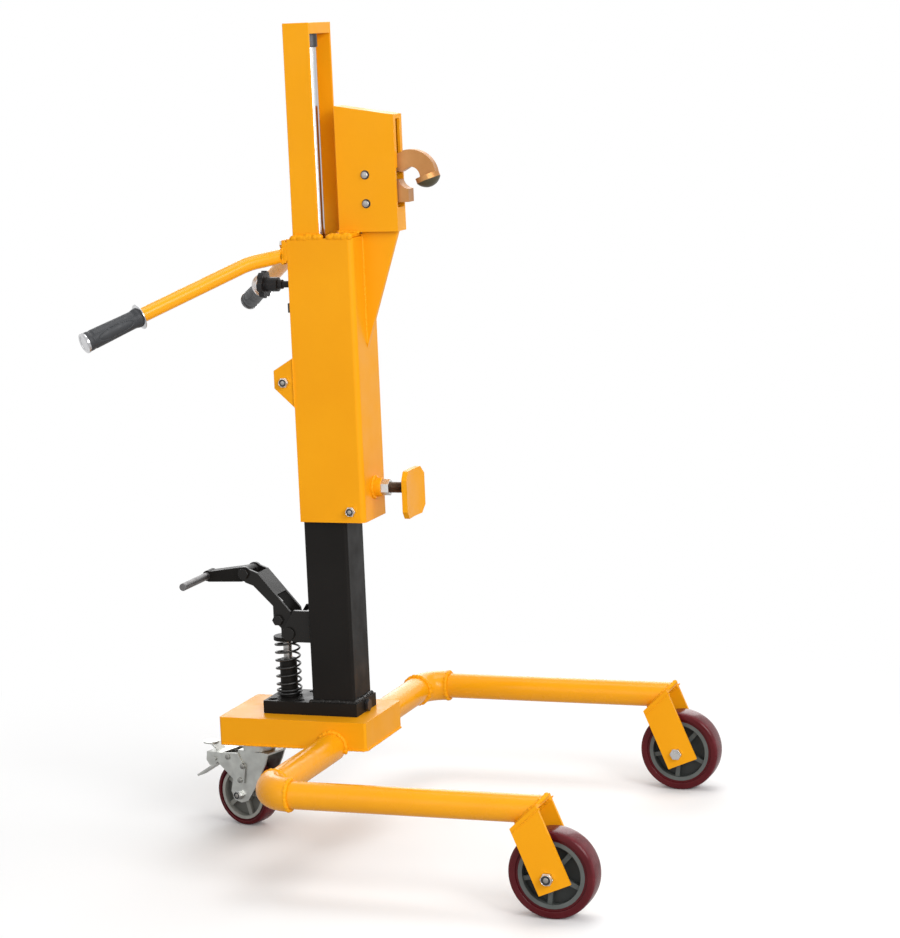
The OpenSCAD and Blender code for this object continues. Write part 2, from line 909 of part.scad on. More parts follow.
module piston_cap() {
    place(black) translate([pump_x, 0, 0]) {
        union() {
            bar_z(cap_d, cap_z, cap_z + cap_t);
            bar_z(cap_boss_d, cap_z, cap_boss_top);
        }
    }
}

// Pump spring: one round wire. Both ends stand straight on their seats for one wire's diameter.
spring_rings = 8;
spring_sides = 6;
spring_close = 2;
spring_close_pitch = spring_wire + 2;
spring_climb = spring_h - 2 * spring_wire;
spring_pitch = (spring_climb - spring_close * spring_close_pitch) / (spring_turns - spring_close);

function spring_rise(turn) = turn < spring_close ? turn * spring_close_pitch
    : spring_close * spring_close_pitch + (turn - spring_close) * spring_pitch;
function spring_point(turn) = [spring_d / 2 * cos(360 * turn), spring_d / 2 * sin(360 * turn),
    block_top + spring_wire + spring_rise(turn)];

spring_steps = spring_turns * spring_rings;
spring_coil = [for (k = [0 : spring_steps]) spring_point(k / spring_rings)];
spring_path = concat([spring_coil[0] - [0, 0, spring_wire]], spring_coil,
    [spring_coil[spring_steps] + [0, 0, spring_wire]]);
spring_last = len(spring_path) - 1;

function unit(v) = v / norm(v);
// The wire's direction along one straight length, and the mitre plane where two lengths meet
function wire_way(k) = unit(spring_path[k + 1] - spring_path[k]);
function mitre(k) = k == 0 ? wire_way(0) : k == spring_last ? wire_way(spring_last - 1)
    : unit(wire_way(k - 1) + wire_way(k));
function slid(p, way, at, face) = p + way * ((at - p) * face) / (way * face);
function next_ring(ring, k) = [for (p = ring) slid(p, wire_way(k - 1), spring_path[k], mitre(k))];
spring_start = [for (s = [0 : spring_sides - 1]) spring_path[0]
    + spring_wire / 2 * [cos(360 * s / spring_sides), sin(360 * s / spring_sides), 0]];
spring_skin = [for (k = 0, ring = spring_start; k <= spring_last;
    k = k + 1, ring = k <= spring_last ? next_ring(ring, k) : ring) each ring];
spring_gap = min([for (a = [0 : spring_steps]) for (b = [a + spring_rings / 2 : spring_steps])
    norm(spring_coil[a] - spring_coil[b])]) - spring_wire;
echo(least_gap_in_pump_spring = spring_gap);

function ring_at(k, s) = k * spring_sides + s % spring_sides;

module pump_spring() {
    sides = [0 : spring_sides - 1];
    faces = concat(
        [for (k = [0 : spring_last - 1]) for (s = sides) [ring_at(k, s), ring_at(k + 1, s), ring_at(k, s + 1)]],
        [for (k = [0 : spring_last - 1]) for (s = sides)
            [ring_at(k, s + 1), ring_at(k + 1, s), ring_at(k + 1, s + 1)]],
        [for (s = [1 : spring_sides - 2]) [ring_at(0, 0), ring_at(0, s), ring_at(0, s + 1)]],
        [for (s = [1 : spring_sides - 2])
            [ring_at(spring_last, 0), ring_at(spring_last, s + 1), ring_at(spring_last, s)]]);
    place(black) translate([pump_x, 0, 0]) polyhedron(points = spring_skin, faces = faces);
}

// Carriage
module sleeve() {
    wide = roller_bolt_d + 2 * hole_gap;
    place(yellow) difference() {
        front_post(-sleeve_back, sleeve_front, sleeve_w, sleeve_z, sleeve_top_z, sleeve_r);
        front_post(-sleeve_back - over, sleeve_front - sleeve_t, 2 * sleeve_in, sleeve_z - over,
            sleeve_top_z + over, max(sleeve_r - sleeve_t, 1));
        translate([front_roller_x, 0, front_roller_z]) bar_y(wide, -sleeve_w, sleeve_w);
        translate([0, 0, pad_z]) bar_x(stud_d + 2 * side_gap, sleeve_front - 2 * sleeve_t, sleeve_front + over);
    }
}

module sleeve_top() {
    half = sleeve_w / 2 - top_inset;
    place(yellow) block([top_back, -half, sleeve_top_z], [sleeve_front - top_inset, half, head_z]);
}

module roller_ears() {
    mid = rear_roller_z;
    ear = [[-sleeve_back, mid - 46], [-sleeve_back, mid + 44], [-ear_back, mid + 21], [-ear_back, mid - 11]];
    place(yellow) both_sides() difference() {
        plate_y(ear, sleeve_in, sleeve_w / 2);
        translate([rear_roller_x, 0, mid]) bar_y(roller_bolt_d + 2 * hole_gap, 0, sleeve_w);
    }
}

// Nylon strips inside the sleeve that keep it square on the column
module guide_pads() {
    pad_in = column_w / 2 + side_gap;
    place("white") both_sides() for (z = [sleeve_z + guide_low, sleeve_z + guide_high]) {
        block([-guide_w / 2, pad_in, z], [guide_w / 2, sleeve_in, z + guide_h]);
    }
}

module roller(l) {
    difference() {
        bar_y(roller_d, -l / 2, l / 2);
        bar_y(roller_bolt_d + 2 * run_gap, -l, l);
    }
}

module front_roller() {
    place(zinc) translate([front_roller_x, 0, front_roller_z]) roller(roller_l);
}

module rear_roller() {
    place(zinc) translate([rear_roller_x, 0, rear_roller_z]) roller(roller_l);
}

module carriage_bolts() {
    place(zinc) {
        translate([rear_roller_x, 0, rear_roller_z]) cross_bolt(roller_bolt_d, sleeve_w / 2);
        translate([front_roller_x, 0, front_roller_z]) cross_bolt(roller_bolt_d, sleeve_w / 2);
        for (z = [hook_pin_z, jaw_pin_z]) {
            translate([hook_pin_x, 0, z]) union() {
                bar_y(bolt_d, -head_w / 2 - 4, head_w / 2);
                translate([0, head_w / 2, 0]) rotate([-90, 0, 0]) hex_head(bolt_d);
            }
        }
        for (s = [-1, 1]) {
            translate([bracket_x, s * root_y, plate_bolt_z]) rotate([0, -90, 0]) rotate([0, 0, 30])
                hex_head(plate_bolt_d);
        }
    }
}

module mast_channel() {
    half = channel_w / 2;
    place(yellow) difference() {
        block([-channel_back, -half, channel_z], [channel_front, half, channel_top]);
        block([-channel_back + channel_t, -half + channel_t, channel_z - over],
            [channel_front + over, half - channel_t, channel_top + over]);
        block([-channel_back - over, -half + channel_t, channel_z - over],
            [-channel_back + channel_t + over, half - channel_t, channel_z + notch_h]);
    }
}

module mast_cap() {
    half = channel_w / 2 - channel_t;
    place(yellow) block([-channel_back + channel_t, -half, rod_top],
        [channel_front, half, rod_top + cap_plate_t]);
}

// Lift rod with its piston below, and the collar that holds it under the cap
module lift_rod() {
    place(chrome) {
        union() {
            bar_z(rod_d, rod_low, rod_top - collar_h);
            bar_z(cyl_bore - 2 * run_gap, rod_low - piston_h, rod_low);
        }
        difference() {
            bar_z(rod_d, rod_top - collar_h, rod_top);
            translate([0, 0, rod_top - collar_h / 2]) rotate([0, 90, 0]) cylinder(d = 6, h = rod_d);
        }
    }
}

// Clamp head
module head_box() {
    half = head_w / 2;
    side = [[head_x, head_z], [head_front, head_z], [head_front, head_z + head_h - head_fall],
        [head_x, head_z + head_h]];
    core = [[head_x + head_t, head_z - over], [head_front - head_t, head_z - over],
        [head_front - head_t, head_z + head_h - head_fall - head_t],
        [head_x + head_t, head_z + head_h - head_t]];
    slot = hook_t + 2 * slot_gap;
    place(yellow) difference() {
        plate_y(side, -half, half);
        plate_y(core, -half + head_t, half - head_t);
        block([head_front - 2 * head_t, -slot / 2, cut_high - over], [head_front + over, slot / 2, slot_top]);
        block([head_front - 2 * head_t, -cut_w / 2, cut_low], [head_front + over, cut_w / 2, cut_high]);
        for (z = [hook_pin_z, jaw_pin_z]) {
            translate([hook_pin_x, 0, z]) bar_y(bolt_d + 2 * hole_gap, -head_w, head_w);
        }
    }
}

gusset_t = 10;
gusset_drop = 210;

module gusset() {
    low = head_z - gusset_drop;
    web = [[sleeve_front, low], [sleeve_front, head_z], [head_front - 6, head_z]];
    place(yellow) plate_y(web, -gusset_t / 2, gusset_t / 2);
}

// The hook: a flat bar from its pivot through the slot, rounded over into a beak with a domed button
module hook() {
    half = hook_t / 2;
    pin = [hook_pin_x, hook_pin_z];
    bar = [[pin[0] + 4, pin[1] + 21], [beak_x - 24, beak_z + hook_r - 7], [beak_x, beak_z + hook_r],
        [beak_x, beak_z + hook_r - beak_bar], [beak_x - 16, beak_z + 9], [head_front - 2, beak_z + 11],
        [pin[0] + 6, pin[1] - 20]];
    sector = [[beak_x - 20, beak_z + 90], [beak_x + 90, beak_z + 90], [beak_x + 75, beak_z + 22],
        [beak_x, beak_z - 14], [beak_x - 8, beak_z + 12]];
    dome_r = (pow(tip_d / 2, 2) + pow(tip_dome, 2)) / (2 * tip_dome);
    place(bronze) difference() {
        union() {
            plate_y(bar, -half, half);
            translate([pin[0], 0, pin[1]]) bar_y(43, -half, half);
            intersection() {
                translate([beak_x, 0, beak_z]) difference() {
                    bar_y(2 * hook_r, -half, half);
                    bar_y(2 * (hook_r - beak_bar), -head_w, head_w);
                }
                plate_y(sector, -half, half);
            }
            translate([tip_x, 0, tip_z]) rotate([0, -tip_rise, 0]) intersection() {
                bar_z(tip_d, -tip_dome - over, tip_t);
                translate([0, 0, dome_r - tip_dome]) sphere(r = dome_r);
            }
        }
        translate([pin[0], 0, pin[1]]) bar_y(bolt_d + 2 * run_gap, -head_w, head_w);
    }
}

// The lower jaw: a thick bar that bears on the outside of the rim, hollowed above for the hook
module lower_jaw() {
    half = jaw_t / 2;
    nose = head_front + jaw_reach;
    bar = [[hook_pin_x, jaw_pin_z - 15], [head_front, jaw_low], [nose, jaw_low], [nose, jaw_high],
        [head_front + 12, jaw_high], [head_front + 12, jaw_high + 14], [head_front - 14, jaw_high + 14],
        [head_front - 20, jaw_high - 2], [hook_pin_x, jaw_pin_z + 17]];
    place(bronze) difference() {
        union() {
            plate_y(bar, -half, half);
            translate([hook_pin_x, 0, jaw_pin_z]) bar_y(34, -half, half);
        }
        translate([hook_pin_x, 0, jaw_pin_z]) bar_y(bolt_d + 2 * run_gap, -head_w, head_w);
        translate([beak_x, 0, beak_z]) bar_y(2 * (hook_r - beak_bar) + 6, -head_w, head_w);
    }
}

// Support pad
module pad_boss() {
    place(yellow) translate([0, 0, pad_z]) difference() {
        bar_x(boss_d, sleeve_front, sleeve_front + boss_l);
        bar_x(stud_d + 2 * run_gap, sleeve_front - over, sleeve_front + boss_l + over);
    }
}

module pad_nut() {
    place(zinc) translate([sleeve_front + boss_l, 0, pad_z]) rotate([0, 90, 0]) difference() {
        cylinder(d = nut_d / cos(30), h = nut_l, $fn = 6);
        translate([0, 0, -over]) cylinder(d = stud_d + 2 * run_gap, h = nut_l + 2 * over);
    }
}

module pad_stud() {
    place(black) translate([0, 0, pad_z]) bar_x(stud_d, stud_in, pad_x);
}

module support_pad() {
    half = pad_w / 2;
    low = pad_z - pad_h * 0.6;
    high = low + pad_h;
    cut = pad_chamfer;
    face = [[-half, low + cut], [-half + cut, low], [half - cut, low], [half, low + cut],
        [half, high - cut], [half - cut, high], [-half + cut, high], [-half, high - cut]];
    axis = pad_x + pad_t + pad_r;
    flat = [[pad_x, -boss_d / 2], [pad_x + pad_t / 2, -boss_d / 2], [pad_x + pad_t / 2, boss_d / 2],
        [pad_x, boss_d / 2]];
    place(yellow) union() {
        intersection() {
            translate([axis, 0, low - over]) difference() {
                cylinder(r = pad_r + pad_t, h = pad_h + 2 * over, $fn = 180);
                translate([0, 0, -over]) cylinder(r = pad_r, h = pad_h + 4 * over, $fn = 180);
            }
            translate([pad_x - over, 0, 0]) rotate([90, 0, 90]) linear_extrude(pad_r) polygon(face);
        }
        translate([0, 0, pad_z - boss_d / 2]) linear_extrude(boss_d) polygon(flat);
    }
}

// Handles
module handle_bracket() {
    half = sleeve_w / 2;
    place(yellow) difference() {
        union() {
            block([bracket_x, -half, cross_low], [-plate_gap, half, cross_high]);
            block([bracket_x, -strap_w / 2, strap_low], [-plate_gap, strap_w / 2, cross_low + over]);
            for (s = [0, 1]) {
                mirror([0, s, 0]) block([-plate_gap - over, sleeve_in, cross_low + 4],
                    [-sleeve_back, half, cross_high - 4]);
            }
        }
        translate([0, 0, knob_z]) bar_x(knob_stud_d + 2 * run_gap, bracket_x - over, -plate_gap + over);
    }
}

// Frames along the right handle: at its root, and at the start of its second run, x outwards
module at_root() {
    translate([bracket_x, -root_y, root_z]) rotate([0, 0, 180 + handle_splay]) rotate([0, handle_fall, 0])
        children();
}

module at_second_run() {
    at_root() translate([handle_run, 0, -handle_r]) rotate([0, handle_bend, 0]) translate([0, 0, handle_r])
        children();
}

module handle() {
    bore = handle_d - 2 * handle_t;
    difference() {
        at_root() difference() {
            bar_x(handle_d, -handle_d, handle_run);
            bar_x(bore, -handle_d - over, handle_run + over);
        }
        block([bracket_x, -sleeve_w, cross_low - handle_d], [sleeve_back, sleeve_w, cross_high + handle_d]);
    }
    at_root() translate([handle_run, 0, -handle_r]) rotate([-90, 0, 0]) rotate([0, 0, -90])
        rotate_extrude(angle = handle_bend) translate([handle_r, 0]) difference() {
            circle(d = handle_d);
            circle(d = bore);
        }
    at_second_run() difference() {
        bar_x(handle_d, 0, handle_reach);
        bar_x(bore, -over, handle_reach + over);
    }
}

module right_handle() {
    place(yellow) union() handle();
}

module left_handle() {
    place(yellow) mirror([0, 1, 0]) union() handle();
}

module handle_grips() {
    start = handle_reach - grip_l;
    place(rubber) both_sides() at_second_run() difference() {
        bar_x(grip_d, start, handle_reach);
        bar_x(handle_d + 2 * run_gap, start - over, handle_reach + over);
    }
}

module grip_trim() {
    start = handle_reach - grip_l;
    place(chrome) both_sides() at_second_run() {
        difference() {
            bar_x(collar_d, start - collar_l, start);
            bar_x(handle_d + 2 * run_gap, start - collar_l - over, start + over);
        }
        bar_x(cap_disc_d, handle_reach, handle_reach + cap_l);
    }
}

// Star knob: a disc with six notches, a stepped hub and a screw through the bracket
module star_knob() {
    disc_t = 10;
    hub_l = 24;
    notches = 6;
    notch_d = knob_d * 0.3;
    notch_r = knob_d * 0.57;
    step_d = knob_stud_d + 5;
    place(black) translate([0, 0, knob_z]) union() {
        translate([knob_x - hub_l - disc_t, 0, 0]) rotate([0, 90, 0]) linear_extrude(disc_t) {
            difference() {
                circle(d = knob_d);
                for (k = [0 : notches - 1]) {
                    rotate(k * 360 / notches + 10) translate([notch_r, 0]) circle(d = notch_d);
                }
            }
        }
        bar_x(knob_d * 0.52, knob_x - hub_l - disc_t / 2, knob_x);
        bar_x(step_d, knob_x - over, knob_x + step_d / 2);
        bar_x(knob_stud_d, knob_x - over, -plate_gap + side_gap);
    }
}

// Caster, drawn about its swivel axis and then turned
module on_caster(finish) {
    place(finish) translate([caster_x, 0, 0]) rotate([0, 0, -caster_turn]) children();
}

module caster_plate() {
    place(zinc) translate([caster_x, 0, 0]) difference() {
        union() {
            block([-top_plate_l / 2, -top_plate_w / 2, base_z - top_plate_t],
                [top_plate_l / 2, top_plate_w / 2, base_z]);
            bar_z(race_d, crown_z + race_gap, base_z - top_plate_t);
            bar_z(kingpin_d, crown_z - 14, base_z - top_plate_t);
        }
        translate([-caster_x, 0, 0]) caster_bolts(base_z - top_plate_t - over, base_z + over, hole_gap);
    }
}

module caster_fork() {
    leg_side = [[-30, crown_z], [42, crown_z], [34, crown_z - 20], [-caster_trail + 38, caster_z + 16],
        [-caster_trail + 21, caster_z - 9], [-caster_trail + 4, caster_z - 15],
        [-caster_trail - 12, caster_z - 11], [-caster_trail - 20, caster_z + 5],
        [-caster_trail - 15, caster_z + 26], [-36, crown_z - 26]];
    brake_side = [[-70, crown_z - 10], [-30, crown_z - 6], [-20, crown_z - 22], [-12, crown_z - 30],
        [-caster_trail + 15, caster_z + 24], [-caster_trail - 2, caster_z + 18], [-44, crown_z - 57],
        [-82, crown_z - 27], [brake_x - 6, brake_z + 6]];
    pin = brake_pin_d + 2 * run_gap;
    on_caster(zinc) {
        difference() {
            union() {
                plate_y(leg_side, caster_in, caster_out);
                plate_y(leg_side, -caster_out, -caster_in);
                block([-30, -caster_out, crown_z - caster_t], [42, caster_out, crown_z]);
            }
            bar_z(kingpin_d + 2 * run_gap, crown_z - 20, crown_z + 20);
            translate([-caster_trail, 0, caster_z])
                bar_y(caster_axle_d + 2 * hole_gap, -caster_out - over, caster_out + over);
        }
        both_sides() difference() {
            union() {
                plate_y(brake_side, caster_out, caster_out + 3);
                for (spot = [[-19, crown_z - 30], [-27, crown_z - 58], [-54, crown_z - 16]]) {
                    translate([spot[0], 0, spot[1]]) bar_y(11, caster_out, caster_out + 5);
                }
            }
            translate([brake_x, 0, brake_z]) bar_y(pin, 0, race_d);
        }
    }
}

// Brake pedal: a pressed housing between the brake plates, with a tread below and a round tab above
module brake_pedal() {
    half = caster_out - side_gap;
    wall = 3;
    x = brake_x;
    z = brake_z;
    cheek = [[x + 14, z + 12], [x - 22, z + 11], [x - 24, z - 6], [x - 16, z - 16], [x - 4, z - 12],
        [x + 10, z - 2]];
    lid = [cheek[0], cheek[1], cheek[1] - [0, wall], cheek[0] - [0, wall]];
    tread = [[x - 12, z - 12], [x - 62, z - 43], [x - 60, z - 46], [x - 8, z - 15]];
    tab = [[x - 10, z + 11], [x - 22, z + 20], [x - 32, z + 21], [x - 32, z + 24], [x - 21, z + 23],
        [x - 6, z + 11]];
    on_caster(zinc) union() {
        plate_y(cheek, half - wall, half);
        plate_y(cheek, -half, -half + wall);
        plate_y(lid, -half, half);
        plate_y(tread, -12, 12);
        plate_y([[x - 4, z - 12], [x - 16, z - 16], [x - 16, z - 13], [x - 4, z - 9]], -half, half);
        plate_y(tab, -12, 12);
        translate([x - 32, 0, z + 21]) bar_z(30, 0, wall);
        translate([x, 0, z]) bar_y(brake_pin_d, -caster_out - 6, caster_out + 6);
    }
}

module caster_axle() {
    on_caster(zinc) translate([-caster_trail, 0, caster_z]) {
        cross_bolt(caster_axle_d, caster_out);
        for (s = [0, 1]) {
            mirror([0, s, 0]) spacer(caster_axle_d, caster_w / 2 - over + side_gap, caster_in);
        }
    }
}

module caster_tyre() {
    on_caster(maroon) translate([-caster_trail, 0, caster_z]) tyre_ring(caster_d, caster_w, caster_tyre_t, 5);
}

module caster_hub() {
    on_caster(pale_grey) translate([-caster_trail, 0, caster_z])
        wheel_body(caster_hub_d, caster_w - 2, 6, 34, caster_axle_d + 2 * run_gap, hub_web, hub_ribs, 0);
}

base_box();
base_floor();
cross_tubes();
right_leg();
left_leg();
right_fork();
left_fork();
front_axles();
pump_block();
block_screws();
base_bolts();
column();
cylinder_tube();
pump_barrel();
pump_bracket();
caster_plate();
right_tyre();
right_hub();
right_bearings();
left_tyre();
left_hub();
left_bearings();
release_valve();
sleeve();
sleeve_top();
roller_ears();
guide_pads();
mast_channel();
mast_cap();
lift_rod();
head_box();
gusset();
carriage_bolts();
pad_boss();
handle_bracket();
right_handle();
left_handle();
handle_grips();
grip_trim();
front_roller();
rear_roller();
hook();
lower_jaw();
support_pad();
pad_stud();
pad_nut();
star_knob();
pump_lever();
lever_roller();
lever_bolts();
pedal_arm();
pedal_bar();
pump_piston();
piston_cap();
pump_spring();
caster_fork();
caster_axle();
caster_tyre();
caster_hub();
brake_pedal();
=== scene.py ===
import json
import math

import bmesh
import bpy
import numpy as np
from mathutils import Matrix, Vector


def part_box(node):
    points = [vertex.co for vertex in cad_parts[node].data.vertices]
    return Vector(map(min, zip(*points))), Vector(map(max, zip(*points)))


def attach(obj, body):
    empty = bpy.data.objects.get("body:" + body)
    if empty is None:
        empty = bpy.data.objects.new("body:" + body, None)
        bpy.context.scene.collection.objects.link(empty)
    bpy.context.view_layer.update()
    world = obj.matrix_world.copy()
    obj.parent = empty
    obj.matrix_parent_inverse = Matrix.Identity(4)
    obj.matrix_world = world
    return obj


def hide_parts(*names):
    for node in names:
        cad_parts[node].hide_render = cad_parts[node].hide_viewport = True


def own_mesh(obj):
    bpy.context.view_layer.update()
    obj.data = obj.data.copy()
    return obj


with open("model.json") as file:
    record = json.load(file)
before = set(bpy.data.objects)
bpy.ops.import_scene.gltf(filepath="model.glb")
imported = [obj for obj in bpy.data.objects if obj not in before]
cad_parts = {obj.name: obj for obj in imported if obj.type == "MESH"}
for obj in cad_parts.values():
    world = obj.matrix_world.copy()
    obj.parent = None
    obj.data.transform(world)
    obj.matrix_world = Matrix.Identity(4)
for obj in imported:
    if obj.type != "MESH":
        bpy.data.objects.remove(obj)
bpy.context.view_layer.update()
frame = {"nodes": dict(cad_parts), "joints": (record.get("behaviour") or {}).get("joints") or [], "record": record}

# The base is a shallow box folded from steel plate, closed by a floor plate welded inside its rim.
# It is powder coated in a warm yellow, like the legs, the carriage and the handles.
mm = 0.001
body_of = {node: body for body, nodes in frame["record"]["behaviour"]["bodies"].items() for node in nodes}
joint_at = {joint["name"]: Vector(joint.get("pos_m", (0, 0, 0))) for joint in frame["joints"]}


def new_finish(name):
    """A new material, with its node tree and its main shader."""
    finish = bpy.data.materials.new(name)
    finish.use_nodes = True
    return finish, finish.node_tree, finish.node_tree.nodes["Principled BSDF"]


def noise(tree, scale, detail, stretch=(1, 1, 1)):
    """Noise fixed to the piece, with its scale in waves per metre."""
    place = tree.nodes.new("ShaderNodeTexCoord")
    turn = tree.nodes.new("ShaderNodeMapping")
    turn.inputs["Scale"].default_value = stretch
    pattern = tree.nodes.new("ShaderNodeTexNoise")
    pattern.inputs["Scale"].default_value = scale
    pattern.inputs["Detail"].default_value = detail
    tree.links.new(place.outputs["Object"], turn.inputs["Vector"])
    tree.links.new(turn.outputs["Vector"], pattern.inputs["Vector"])
    return pattern.outputs["Fac"]


def spread(tree, value, low, high, start=0.3, end=0.7):
    """A value between start and end, spread over low to high."""
    mapped = tree.nodes.new("ShaderNodeMapRange")
    mapped.inputs["From Min"].default_value = start
    mapped.inputs["From Max"].default_value = end
    mapped.inputs["To Min"].default_value = low
    mapped.inputs["To Max"].default_value = high
    tree.links.new(value, mapped.inputs["Value"])
    return mapped.outputs["Result"]


def mixed(tree, share, first, second):
    """Two colours mixed by a share. A colour is a tuple or another node's output."""
    mixer = tree.nodes.new("ShaderNodeMix")
    mixer.data_type = "RGBA"
    tree.links.new(share, mixer.inputs["Factor"])
    for socket, colour in ((mixer.inputs["A"], first), (mixer.inputs["B"], second)):
        if isinstance(colour, tuple):
            socket.default_value = (*colour, 1)
        else:
            tree.links.new(colour, socket)
    return mixer.outputs["Result"]


def clouds(tree, scale, detail, first, second, stretch=(1, 1, 1)):
    """Two colours that drift into each other over the piece."""
    return mixed(tree, spread(tree, noise(tree, scale, detail, stretch), 0, 1), first, second)


def uneven_gloss(tree, shader, scale, detail, low, high, stretch=(1, 1, 1)):
    """Roughness that wanders between two values over the piece."""
    tree.links.new(spread(tree, noise(tree, scale, detail, stretch), low, high), shader.inputs["Roughness"])


def relief(tree, shader, height, depth, strength):
    """Fine relief of a given depth, added to the shader's normal."""
    bump = tree.nodes.new("ShaderNodeBump")
    bump.inputs["Distance"].default_value = depth
    bump.inputs["Strength"].default_value = strength
    tree.links.new(height, bump.inputs["Height"])
    if shader.inputs["Normal"].links:
        tree.links.new(shader.inputs["Normal"].links[0].from_socket, bump.inputs["Normal"])
    tree.links.new(bump.outputs["Normal"], shader.inputs["Normal"])


def powder_coat(name, colour, deep, gloss, shine, peel=0.2):
    """Thick baked paint with faint clouds of tone, orange peel and a few shallow scuffs."""
    finish, tree, shader = new_finish(name)
    scuffs = spread(tree, noise(tree, 60, 5), 0, 0.5, 0.55, 0.75)
    tree.links.new(clouds(tree, 7, 4, colour, deep), shader.inputs["Base Color"])
    uneven_gloss(tree, shader, 25, 5, gloss - 0.06, gloss + 0.1)
    shader.inputs["Specular IOR Level"].default_value = shine
    relief(tree, shader, noise(tree, 420, 2), 0.25 * mm, peel)
    relief(tree, shader, scuffs, 0.1 * mm, peel)
    return finish


yellow = ((0.90, 0.375, 0.006), (0.86, 0.345, 0.005))
yellow_paint = powder_coat("yellow_paint", *yellow, 0.34, 0.12)


def cleaned(node):
    """A copy of a node's solid to work on, with its doubled points merged."""
    same_point = 0.005 * mm
    work = bmesh.new()
    work.from_mesh(frame["nodes"][node].data)
    bmesh.ops.remove_doubles(work, verts=work.verts, dist=same_point)
    return work


def meshed(name, work):
    """The mesh that finished work leaves."""
    mesh = bpy.data.meshes.new(name)
    work.to_mesh(mesh)
    work.free()
    return mesh


def placed(name, data):
    """A new object in the scene."""
    thing = bpy.data.objects.new(name, data)
    bpy.context.scene.collection.objects.link(thing)
    return thing


def baked(holder):
    """The plain mesh that an object's modifiers make. The object is taken away again."""
    graph = bpy.context.evaluated_depsgraph_get()
    mesh = bpy.data.meshes.new_from_object(holder.evaluated_get(graph), depsgraph=graph)
    bpy.data.objects.remove(holder)
    return mesh


def softened(node, radius):
    """A copy of a pressed or machined piece whose sharp edges are eased by a small radius."""
    flat_angle = math.radians(0.4)
    sharp_angle = math.radians(24)
    work = cleaned(node)
    bmesh.ops.dissolve_limit(work, angle_limit=flat_angle, verts=work.verts, edges=work.edges)
    mesh = meshed(node + "_eased", work)
    mesh.shade_smooth()
    holder = placed(node + "_eased", mesh)
    bevel = holder.modifiers.new("eased edges", "BEVEL")
    bevel.width = radius
    bevel.segments = 3
    bevel.limit_method = "ANGLE"
    bevel.angle_limit = sharp_angle
    even = holder.modifiers.new("even faces", "WEIGHTED_NORMAL")
    even.keep_sharp = True
    return baked(holder)


def smoothed(node, angle):
    """A copy of a tube whose round faces are shaded smooth and whose cut ends stay crisp."""
    mesh = meshed(node + "_smooth", cleaned(node))
    if "custom_normal" in mesh.attributes:
        mesh.attributes.remove(mesh.attributes["custom_normal"])
    mesh.shade_smooth()
    mesh.set_sharp_from_angle(angle=math.radians(angle))
    return mesh


def add_piece(name, mesh, finish, *nodes, body=None, slot=None):
    """Shows a mesh as the finished look of these nodes, on their body. The slot argument is not used."""
    mesh.materials.clear()
    mesh.materials.append(finish)
    piece = placed(name, mesh)
    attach(piece, body or body_of[nodes[0]])
    if nodes:
        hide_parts(*nodes)
    return piece


def add_eased(finish, radii):
    """Eased copies of several nodes in one finish, given each node's edge radius in millimetres."""
    for node, radius in radii.items():
        add_piece(node + "_finished", softened(node, radius * mm), finish, node)


add_eased(yellow_paint, {"base_box": 3.0, "base_floor": 1.0})

# Two cross tubes run out of the base to forged elbows, and the leg tubes run forwards from those to the
# wheel forks, each bent from one strip. All are steel, welded with thick beads and painted with the base.
add_eased(yellow_paint, {"right_fork": 1.4, "left_fork": 1.4})
tube_paint = powder_coat("tube_paint", *yellow, 0.24, 0.26, 0.05)
add_eased(tube_paint, {"cross_tubes": 0.8})
for node in ("right_leg", "left_leg"):
    add_piece(node + "_finished", smoothed(node, 30), tube_paint, node)


def new_tree(name, inputs):
    """A Geometry Nodes tree with its group nodes and its named inputs, given as socket types."""
    tree = bpy.data.node_groups.new(name, "GeometryNodeTree")
    tree.interface.new_socket("Geometry", in_out="INPUT", socket_type="NodeSocketGeometry")
    for label, kind in inputs.items():
        tree.interface.new_socket(label, in_out="INPUT", socket_type=kind)
    tree.interface.new_socket("Geometry", in_out="OUTPUT", socket_type="NodeSocketGeometry")
    return tree, tree.nodes.new("NodeGroupInput"), tree.nodes.new("NodeGroupOutput")


def grown(name, mesh, tree, values):
    """The plain mesh that a Geometry Nodes tree makes from a mesh, with its inputs set by their names."""
    holder = placed(name, mesh)
    modifier = holder.modifiers.new(name, "NODES")
    modifier.node_group = tree
    for socket in tree.interface.items_tree:
        if socket.in_out == "INPUT" and socket.name in values:
            modifier[socket.identifier] = values[socket.name]
    return baked(holder)


